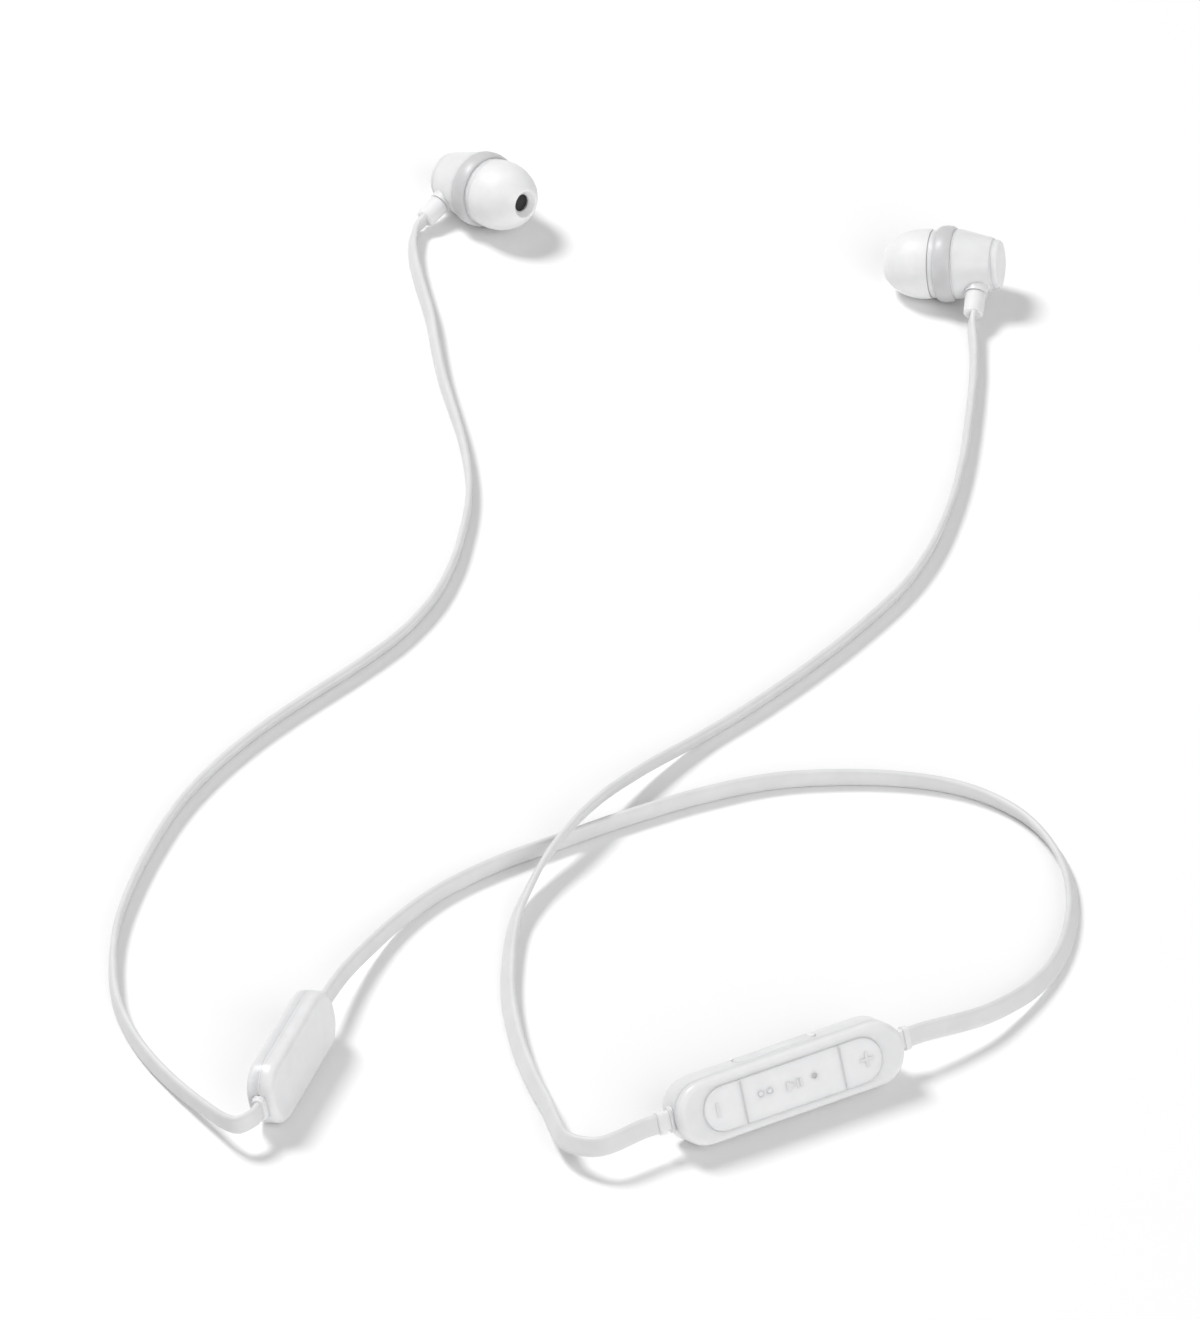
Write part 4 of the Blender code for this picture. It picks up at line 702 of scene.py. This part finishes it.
TIP_TURN = 72
TIP_RADIUS, TIP_WALL = 6.2 * MM, 0.5 * MM
TIP_START, TIP_WIDEST, TIP_DOME = 2.69 * MM, 4.16 * MM, 7.6 * MM
SKIRT_EDGE, SKIRT_EDGE_RADIUS = 0.14 * MM, 5.98 * MM
TIP_OPENING, TIP_RIM = 2.3 * MM, 0.4 * MM
TIP_BORE, TIP_SLEEVE_WALL = 2.8 * MM, 0.6 * MM
TIP_SLEEVE_START, TIP_SEAT = 5.0 * MM, 10.0 * MM
TIP_THROAT = 1.55 * MM
SKIRT_STEPS, DOME_STEPS, INSIDE_STEPS = 4, 16, 10
SKIRT_INSIDE = ((0.36 * MM, 0.05 * MM), (0.27 * MM, 0.0))  # (from the start, in from the inside)
LIP_BACK, LIP_REACH, LIP_TILT = 0.12 * MM, 0.2 * MM, 20
LIP_ANGLES = (25, 50, 75, 100, 130, 160)
FUNNEL_BACK, FUNNEL_IN = 0.35 * MM, 0.1 * MM
SLEEVE_EDGE, SLEEVE_CORNER = 0.1 * MM, 0.15 * MM
SAME_POINT = 0.0005 * MM


def turned(profile, steps):
    """A closed solid of revolution about Z from (station, radius) points."""
    form = bmesh.new()
    points = [form.verts.new((radius, 0, station)) for station, radius in profile]
    edges = [form.edges.new(pair) for pair in zip(points, points[1:] + points[:1])]
    bmesh.ops.spin(
        form,
        geom=points + edges,
        cent=(0, 0, 0),
        axis=(0, 0, 1),
        angle=2 * math.pi,
        steps=steps,
        use_merge=True,
    )
    bmesh.ops.remove_doubles(form, verts=form.verts, dist=SAME_POINT)
    return form


def tip_profile():
    """Dome with a rolled skirt edge and a soft lip, and the sleeve that grips the nozzle."""
    sleeve = TIP_BORE + TIP_SLEEVE_WALL
    front_radius = TIP_OPENING + TIP_RIM
    outer_end = math.acos(front_radius / TIP_RADIUS)
    inner_radius, inner_dome = TIP_RADIUS - TIP_WALL, TIP_DOME - TIP_WALL
    inner_end = math.acos(sleeve / inner_radius)
    profile = [(TIP_START + ahead, inner_radius - inward) for ahead, inward in SKIRT_INSIDE]
    for step in range(SKIRT_STEPS + 1):
        angle = 0.5 * math.pi * step / SKIRT_STEPS
        station = TIP_START + SKIRT_EDGE * (1 - math.cos(angle))
        profile.append((station, SKIRT_EDGE_RADIUS + SKIRT_EDGE * math.sin(angle)))
    for step in range(DOME_STEPS + 1):
        angle = outer_end * step / DOME_STEPS
        profile.append((TIP_WIDEST + TIP_DOME * math.sin(angle), TIP_RADIUS * math.cos(angle)))
    front = profile[-1][0]
    for angle in LIP_ANGLES:
        station = front - LIP_BACK + LIP_REACH * math.sin((angle + LIP_TILT) * DEG)
        profile.append((station, TIP_OPENING + 0.5 * TIP_RIM * (1 + math.cos(angle * DEG))))
    edge = TIP_SLEEVE_START - SLEEVE_EDGE
    profile += [(front - FUNNEL_BACK, TIP_OPENING - FUNNEL_IN), (TIP_SEAT, TIP_THROAT)]
    profile += [(TIP_SEAT, TIP_BORE), (TIP_SLEEVE_START, TIP_BORE)]
    profile += [(edge, TIP_BORE + SLEEVE_CORNER), (edge, sleeve - SLEEVE_CORNER)]
    profile += [(TIP_SLEEVE_START, sleeve)]
    for step in range(INSIDE_STEPS, -1, -1):
        angle = inner_end * step / INSIDE_STEPS
        profile.append((TIP_WIDEST + inner_dome * math.sin(angle), inner_radius * math.cos(angle)))
    return profile


for side, matrix in (("left", LEFT_BUD), ("right", RIGHT_BUD)):
    dome = turned(tip_profile(), TIP_TURN)
    tip = piece(side + "_tip_dome", dome, SILICONE, side + "_tip", matrix)
    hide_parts(side + "_ear_tip")

# --------------------------------------------------------------------------- seam fills

# Thin fills in the seams, clear of the CAD pieces on both sides. The light fills close the seams'
# dark gaps: painted light in place of the seams' shade. They have the same facets as their
# neighbours, so that they run beside them.
CORNER_STEPS, FINE_TURN, HOLE_TURN = 6, 24, 10
FILL_GAP = 0.02 * MM
REMOTE_CORNER, POD_CORNER = 5.1 * MM, 5.0 * MM
PANEL_LENGTH, PANEL_WIDTH, PANEL_CORNER = 33.4 * MM, 8.0 * MM, 3.9 * MM
KEY_GAP, KEY_SEAM_AT = 0.1 * MM, 9.25 * MM
KEY_FACE = REMOTE_THICKNESS / 2 + PANEL_PROUD
BOOT_WIDTH, BOOT_THICKNESS = 4.4 * MM, 2.7 * MM
BOOT_CORNER, BOOT_NECK = 1.08 * MM, 0.5 * MM
HOUSING_FRONT_RADIUS, NOZZLE_FLANGE_RADIUS, BUD_EDGE = 6.2 * MM, 6.0 * MM, 0.15 * MM
CAP_SEAM_AT, CAP_RADIUS, CAP_EDGE = -8.31 * MM, 4.35 * MM, 0.1 * MM
LIGHT_AT, MIC_AT, MIDDLE_HOLES_Y = (-6.0 * MM, -4.3 * MM), 4.0 * MM, 0.3 * MM
LIGHT_RADIUS, LIGHT_HOLE_RADIUS = 0.4 * MM, 0.5 * MM
KEY_FILL_DEPTH, KEY_FILL_BELOW_COVER, KEY_FILL_BELOW_KEYS = 0.3 * MM, 0.01 * MM, 0.02 * MM
BEAD_OUTSIDE, BEAD_INSIDE, BEAD_CLEAR = 0.04 * MM, 0.27 * MM, 0.1 * MM
BOOT_FILL_INSET, BOOT_FILL_CLEAR = 0.05 * MM, 0.03 * MM
GROOVE_CLEAR, GROOVE_SLOPE_CLEAR = 0.015 * MM, 0.028 * MM
GROOVE_FOOT, GROOVE_FOOT_CLEAR = 0.1 * MM, 0.013 * MM
CAP_FILL_NEAR, CAP_FILL_FAR, CAP_FILL_SLOPE = 0.015 * MM, 0.045 * MM, 0.14 * MM
CAP_FILL_FOOT, CAP_FILL_FOOT_CLEAR = 0.15 * MM, 0.02 * MM
CAP_FILL_EDGE, CAP_FILL_PROUD = 0.015 * MM, 0.1 * MM
PEG_FILL_DEPTH, PEG_FILL_BELOW = 0.4 * MM, 0.01 * MM
MIC_MESH_DEPTH, MIC_MESH_BELOW, MIC_MESH_CLEAR = 0.1 * MM, 0.13 * MM, 0.03 * MM


def absorb(form, other):
    """Adds another form's pieces to a form."""
    mesh = bpy.data.meshes.new("absorbed")
    other.to_mesh(mesh)
    other.free()
    form.from_mesh(mesh)
    bpy.data.meshes.remove(mesh)


def rounded_outline(length, width, radius, inset, steps=CORNER_STEPS):
    """The outline of a rounded rectangle, moved in by the inset."""
    points = []
    for side_x, side_y, start in ((1, -1, -90), (1, 1, 0), (-1, 1, 90), (-1, -1, 180)):
        for step in range(steps + 1):
            angle = (start + 90 * step / steps) * DEG
            x = side_x * (length / 2 - radius) + (radius - inset) * math.cos(angle)
            y = side_y * (width / 2 - radius) + (radius - inset) * math.sin(angle)
            points.append((x, y))
    return points


def bar_through(form, sections, closed=False):
    """A bar through four-cornered sections, or a ring when it closes on itself."""
    rings = [[form.verts.new(corner) for corner in corners] for corners in sections]
    pairs = list(zip(rings, rings[1:]))
    if closed:
        pairs.append((rings[-1], rings[0]))
    else:
        form.faces.new(rings[0])
        form.faces.new(rings[-1])
    for one, two in pairs:
        for i in range(4):
            j = (i + 1) % 4
            form.faces.new((one[i], one[j], two[j], two[i]))


def strip(form, outer, inner, low, high, closed=False):
    """A bar between two lines in plan and between two heights."""
    sections = []
    for (x0, y0), (x1, y1) in zip(outer, inner):
        sections.append(((x0, y0, low), (x0, y0, high), (x1, y1, high), (x1, y1, low)))
    bar_through(form, sections, closed)


def key_seam_fill():
    """A light fill in the seams between the keys, and between them and the window of the front
    cover: painted light in place of the seams' shade.
    """
    form = bmesh.new()
    panel = (PANEL_LENGTH, PANEL_WIDTH, PANEL_CORNER)
    outer = rounded_outline(*panel, FILL_GAP)
    inner = rounded_outline(*panel, KEY_GAP - FILL_GAP)
    high = REMOTE_THICKNESS / 2 - KEY_FILL_BELOW_COVER
    low = high - KEY_FILL_DEPTH
    strip(form, outer, inner, low, high, closed=True)
    half = KEY_GAP / 2 - FILL_GAP
    reach = PANEL_WIDTH / 2 - KEY_GAP
    for seam in (-KEY_SEAM_AT, KEY_SEAM_AT):
        left = [(seam - half, -reach), (seam - half, reach)]
        right = [(seam + half, -reach), (seam + half, reach)]
        strip(form, left, right, low, KEY_FACE - KEY_FILL_BELOW_KEYS)
    return form


def above(points, least):
    """The stretch of an outline that lies at that height in plan and over it."""
    kept = []
    for (x0, y0), (x1, y1) in zip(points, points[1:] + points[:1]):
        if y0 >= least:
            kept.append((x0, y0))
        if (y0 >= least) != (y1 >= least):
            share = (least - y0) / (y1 - y0)
            kept.append((x0 + share * (x1 - x0), least))
    return kept


def parting_fill():
    """A light fill in the pod's parting line, along each side between the two boots: painted light
    in place of the seam's shade.
    """
    form = bmesh.new()
    pod = (POD_LENGTH, POD_WIDTH, POD_CORNER)
    least = BOOT_WIDTH / 2 + BEAD_CLEAR
    half = SHELL_GAP / 2 - FILL_GAP
    outer = above(rounded_outline(*pod, BEAD_OUTSIDE), least)
    inner = above(rounded_outline(*pod, BEAD_INSIDE), least)
    for side in (1, -1):
        lines = [[(x, side * y) for x, y in line] for line in (outer, inner)]
        strip(form, *lines, -half, half)
    return form


def boot_seam_fills(length, width, corner):
    """Light fills in the wedges between the boots and the rounded end walls, around the boots'
    necks: painted light in place of the seams' shade.
    """
    form = bmesh.new()
    flat = width / 2 - corner
    face = length / 2 + SEAM_GAP - FILL_GAP
    boot = (BOOT_WIDTH, BOOT_THICKNESS, BOOT_CORNER)
    outer = rounded_outline(*boot, BOOT_FILL_INSET)
    inner = rounded_outline(*boot, BOOT_NECK - BOOT_FILL_CLEAR)
    for end in (-1, 1):
        sections = []
        for (y0, z0), (y1, z1) in zip(outer, inner):
            corners = []
            for y, z in ((y0, z0), (y1, z1)):
                past = max(abs(y) - flat, 0)
                wall = length / 2 - corner + math.sqrt(corner**2 - past**2) + FILL_GAP
                corners += [(end * wall, y, z), (end * face, y, z)]
            sections.append((corners[0], corners[1], corners[3], corners[2]))
        bar_through(form, sections, closed=True)
    return form


def ring_fill(form, ring_face, toward, radius, edge):
    """Fills the groove between the ring's face and the bevelled edge of the piece beside it."""
    near = ring_face + toward * FILL_GAP
    far = ring_face + toward * (SEAM_GAP - GROOVE_CLEAR)
    slope = ring_face + toward * (SEAM_GAP + edge - GROOVE_SLOPE_CLEAR)
    foot = radius - edge
    profile = (
        (near, foot - GROOVE_FOOT),
        (far, foot - GROOVE_FOOT),
        (far, foot + GROOVE_FOOT_CLEAR),
        (slope, radius),
        (near, radius),
    )
    absorb(form, turned(profile, FINE_TURN))


def bud_fills():
    """The fills on both faces of the trim ring and at the rear cap."""
    form = bmesh.new()
    ring_fill(form, RING_HALF, 1, NOZZLE_FLANGE_RADIUS, BUD_EDGE)
    ring_fill(form, -RING_HALF, -1, HOUSING_FRONT_RADIUS, BUD_EDGE)
    near, far = CAP_SEAM_AT - CAP_FILL_NEAR, CAP_SEAM_AT - CAP_FILL_FAR
    foot = CAP_RADIUS - CAP_EDGE
    profile = (
        (near, foot - CAP_FILL_FOOT),
        (far, foot - CAP_FILL_FOOT),
        (far, foot + CAP_FILL_FOOT_CLEAR),
        (CAP_SEAM_AT - CAP_FILL_SLOPE, CAP_RADIUS + CAP_FILL_EDGE),
        (near, CAP_RADIUS + CAP_FILL_PROUD),
    )
    absorb(form, turned(profile, FINE_TURN))
    return form


def peg_seam_fills():
    """A thin light fill around each peg of the light guide, in its hole in the middle key: painted
    light in place of the gap's shade.
    """
    form = bmesh.new()
    high = KEY_FACE - PEG_FILL_BELOW
    low = high - PEG_FILL_DEPTH
    thin, wide = LIGHT_RADIUS + FILL_GAP, LIGHT_HOLE_RADIUS - FILL_GAP
    half_facet = Matrix.Rotation(180 * DEG / HOLE_TURN, 3, "Z")
    for x in LIGHT_AT:
        ring = turned(((low, thin), (low, wide), (high, wide), (high, thin)), HOLE_TURN)
        bmesh.ops.rotate(ring, matrix=half_facet, verts=ring.verts)
        bmesh.ops.translate(ring, vec=(x, MIDDLE_HOLES_Y, 0), verts=ring.verts)
        absorb(form, ring)
    return form


def microphone_mesh():
    """The fine mesh just inside the microphone's hole."""
    form = bmesh.new()
    radius = LIGHT_HOLE_RADIUS - MIC_MESH_CLEAR
    bmesh.ops.create_cone(
        form,
        cap_ends=True,
        segments=HOLE_TURN,
        radius1=radius,
        radius2=radius,
        depth=MIC_MESH_DEPTH,
    )
    middle = (MIC_AT, MIDDLE_HOLES_Y, KEY_FACE - MIC_MESH_BELOW)
    bmesh.ops.translate(form, vec=middle, verts=form.verts)
    return form


MIC_MESH = moulded(
    "microphone_mesh", (0.54, 0.54, 0.545), (0.48, 0.48, 0.485), 0.5, 0.65, 14.0, 0.01 * MM
)
# The fills' white is as light as the keys' and lighter than the casing and boots beside them:
# painted light in the seams.
FILL = moulded("seam_fill", (0.85, 0.85, 0.855), (0.82, 0.82, 0.825), 0.5, 0.6, 12.0, 0.004 * MM)
remote_boot_fills = boot_seam_fills(REMOTE_LENGTH, REMOTE_WIDTH, REMOTE_CORNER)
pod_boot_fills = boot_seam_fills(POD_LENGTH, POD_WIDTH, POD_CORNER)
fills = (
    ("key_seam_fill", key_seam_fill(), FILL, "soft_key", "set", REMOTE),
    ("peg_seam_fills", peg_seam_fills(), FILL, "soft_key", "set", REMOTE),
    ("microphone_mesh", microphone_mesh(), MIC_MESH, "trim_grey", "play_key", REMOTE),
    ("remote_boot_seam_fill", remote_boot_fills, FILL, "boot_elastomer", "set", REMOTE),
    ("pod_boot_seam_fill", pod_boot_fills, FILL, "boot_elastomer", "set", POD),
    ("pod_parting_fill", parting_fill(), FILL, "white_casing", "set", POD),
    ("left_bud_fills", bud_fills(), FILL, "white_casing", "set", LEFT_BUD),
    ("right_bud_fills", bud_fills(), FILL, "white_casing", "set", RIGHT_BUD),
)
for name, form, finish, slot_name, body, matrix in fills:
    fill = piece(name, form, finish, body, matrix)

# --------------------------------------------------------------------------- key marks

MARK_HEIGHT, MARK_SUNK, MARK_EASE = 0.06 * MM, 0.04 * MM, 0.03 * MM
BAR_CORNER, BAR_CORNER_STEPS = 0.08 * MM, 3
TRIANGLE_CORNER, TRIANGLE_EASE = 9, 0.97  # degrees each side of a corner, radius there


def raised(form, rings, centre):
    """Closes the rings to a solid and sets it on the key face."""
    for low, high in zip(rings, rings[1:]):
        for i in range(len(low)):
            j = (i + 1) % len(low)
            form.faces.new((low[i], low[j], high[j], high[i]))
    form.faces.new(rings[0])
    form.faces.new(rings[-1])
    bmesh.ops.translate(form, vec=(*centre, KEY_FACE), verts=form.verts)
    return form


def mark_levels():
    """The (inset, height) of a mark's foot, its upright side and its eased face."""
    return ((0, -MARK_SUNK), (0, MARK_HEIGHT - MARK_EASE), (MARK_EASE, MARK_HEIGHT))


def bar(length, width, centre):
    """A flat raised bar with eased edges on the key face."""
    form = bmesh.new()
    outline = rounded_outline(length, width, BAR_CORNER, 0, BAR_CORNER_STEPS)
    rings = []
    for inset, height in mark_levels():
        shrink_x, shrink_y = 1 - 2 * inset / length, 1 - 2 * inset / width
        rings.append([form.verts.new((x * shrink_x, y * shrink_y, height)) for x, y in outline])
    return raised(form, rings, centre)


def cross(length, width, centre):
    """A flat raised plus sign with eased edges on the key face."""
    form = bmesh.new()
    rings = []
    for inset, height in mark_levels():
        far, near = length / 2 - inset, width / 2 - inset
        ring = []
        for turn in range(4):
            for x, y in ((far, -near), (far, near), (near, near)):
                spot = Matrix.Rotation(turn * 90 * DEG, 2) @ Vector((x, y))
                ring.append(form.verts.new((*spot, height)))
        rings.append(ring)
    return raised(form, rings, centre)


def triangle(size, centre):
    """A flat raised triangle with blunt corners on the key face, pointing to +X."""
    form = bmesh.new()
    rings = []
    for inset, height in mark_levels():
        scale = 1 - 2 * inset / size
        ring = []
        for angle in (0, 120, 240):
            for swing in (-TRIANGLE_CORNER, 0, TRIANGLE_CORNER):
                radius = size * scale * (TRIANGLE_EASE if swing else 1.0)
                turn = (angle + swing) * DEG
                spot = (radius * math.cos(turn), radius * math.sin(turn), height)
                ring.append(form.verts.new(spot))
        rings.append(ring)
    return raised(form, rings, centre)


MINUS_AT, PLUS_AT = (-14.075 * MM, 0), (13.725 * MM, 0)
SIGN_LENGTH, SIGN_STROKE = 2.6 * MM, 0.5 * MM
PLAY_SIZE, PLAY_AT = 0.95 * MM, (-0.7 * MM, 0)
PAUSE_LENGTH, PAUSE_STROKE = 1.7 * MM, 0.35 * MM
PAUSE_ONE_AT, PAUSE_TWO_AT = (0.75 * MM, 0), (1.4 * MM, 0)
MARKS = moulded("key_mark", (0.76, 0.76, 0.77), (0.73, 0.73, 0.74), 0.4, 0.5, 10.0, 0.004 * MM)
marks = (
    ("mark_minus", bar(SIGN_STROKE, SIGN_LENGTH, MINUS_AT), "minus_key"),
    ("mark_plus", cross(SIGN_LENGTH, SIGN_STROKE, PLUS_AT), "plus_key"),
    ("mark_play", triangle(PLAY_SIZE, PLAY_AT), "play_key"),
    ("mark_pause_one", bar(PAUSE_STROKE, PAUSE_LENGTH, PAUSE_ONE_AT), "play_key"),
    ("mark_pause_two", bar(PAUSE_STROKE, PAUSE_LENGTH, PAUSE_TWO_AT), "play_key"),
)
for name, form, body in marks:
    mark = piece(name, form, MARKS, body, REMOTE)

# --------------------------------------------------------------------------- studio

FLOOR_SIDE = 6.0
WORLD_STRENGTH = 0.38


def add_floor():
    """A wide sheet of pale paper under the set."""
    form = bmesh.new()
    corners = [(-1, -1), (1, -1), (1, 1), (-1, 1)]
    half = FLOOR_SIDE / 2
    form.faces.new([form.verts.new((x * half, y * half, 0)) for x, y in corners])
    mesh = bpy.data.meshes.new("floor")
    form.to_mesh(mesh)
    form.free()
    made = Finish("floor_paper")
    made.mottle(made.noise(0.004, 2.0), (0.93, 0.93, 0.93), (0.92, 0.92, 0.92))
    made.roughness(made.ramp(made.noise(0.02, 2.0), 0.8, 0.9))
    made.put(Specular_IOR_Level=0.2)
    mesh.materials.append(made.material)
    floor = bpy.data.objects.new("floor", mesh)
    bpy.context.scene.collection.objects.link(floor)


def add_softbox(name, azimuth, elevation, distance, size, watts):
    """A soft area light that looks at the middle of the set."""
    data = bpy.data.lights.new(name, "AREA")
    data.shape = "DISK"
    data.size = size
    data.energy = watts
    light = bpy.data.objects.new(name, data)
    bpy.context.scene.collection.objects.link(light)
    a, e = azimuth * DEG, elevation * DEG
    out = Vector((math.sin(a) * math.cos(e), -math.cos(a) * math.cos(e), math.sin(e)))
    light.location = out * distance
    light.rotation_mode = "QUATERNION"
    light.rotation_quaternion = (-out).to_track_quat("-Z", "Y")


def add_world(strength):
    world = bpy.data.worlds.new("studio")
    world.use_nodes = True
    backdrop = world.node_tree.nodes["Background"]
    backdrop.inputs["Color"].default_value = (1.0, 1.0, 1.0, 1.0)
    backdrop.inputs["Strength"].default_value = strength
    bpy.context.scene.world = world


add_floor()
add_softbox("key", azimuth=-125.0, elevation=56.0, distance=1.6, size=0.5, watts=17.0)
add_softbox("fill", azimuth=30.0, elevation=30.0, distance=1.6, size=1.4, watts=11.5)
add_world(WORLD_STRENGTH)
bpy.context.scene.view_settings.view_transform = "Standard"
bpy.context.scene.view_settings.look = "None"
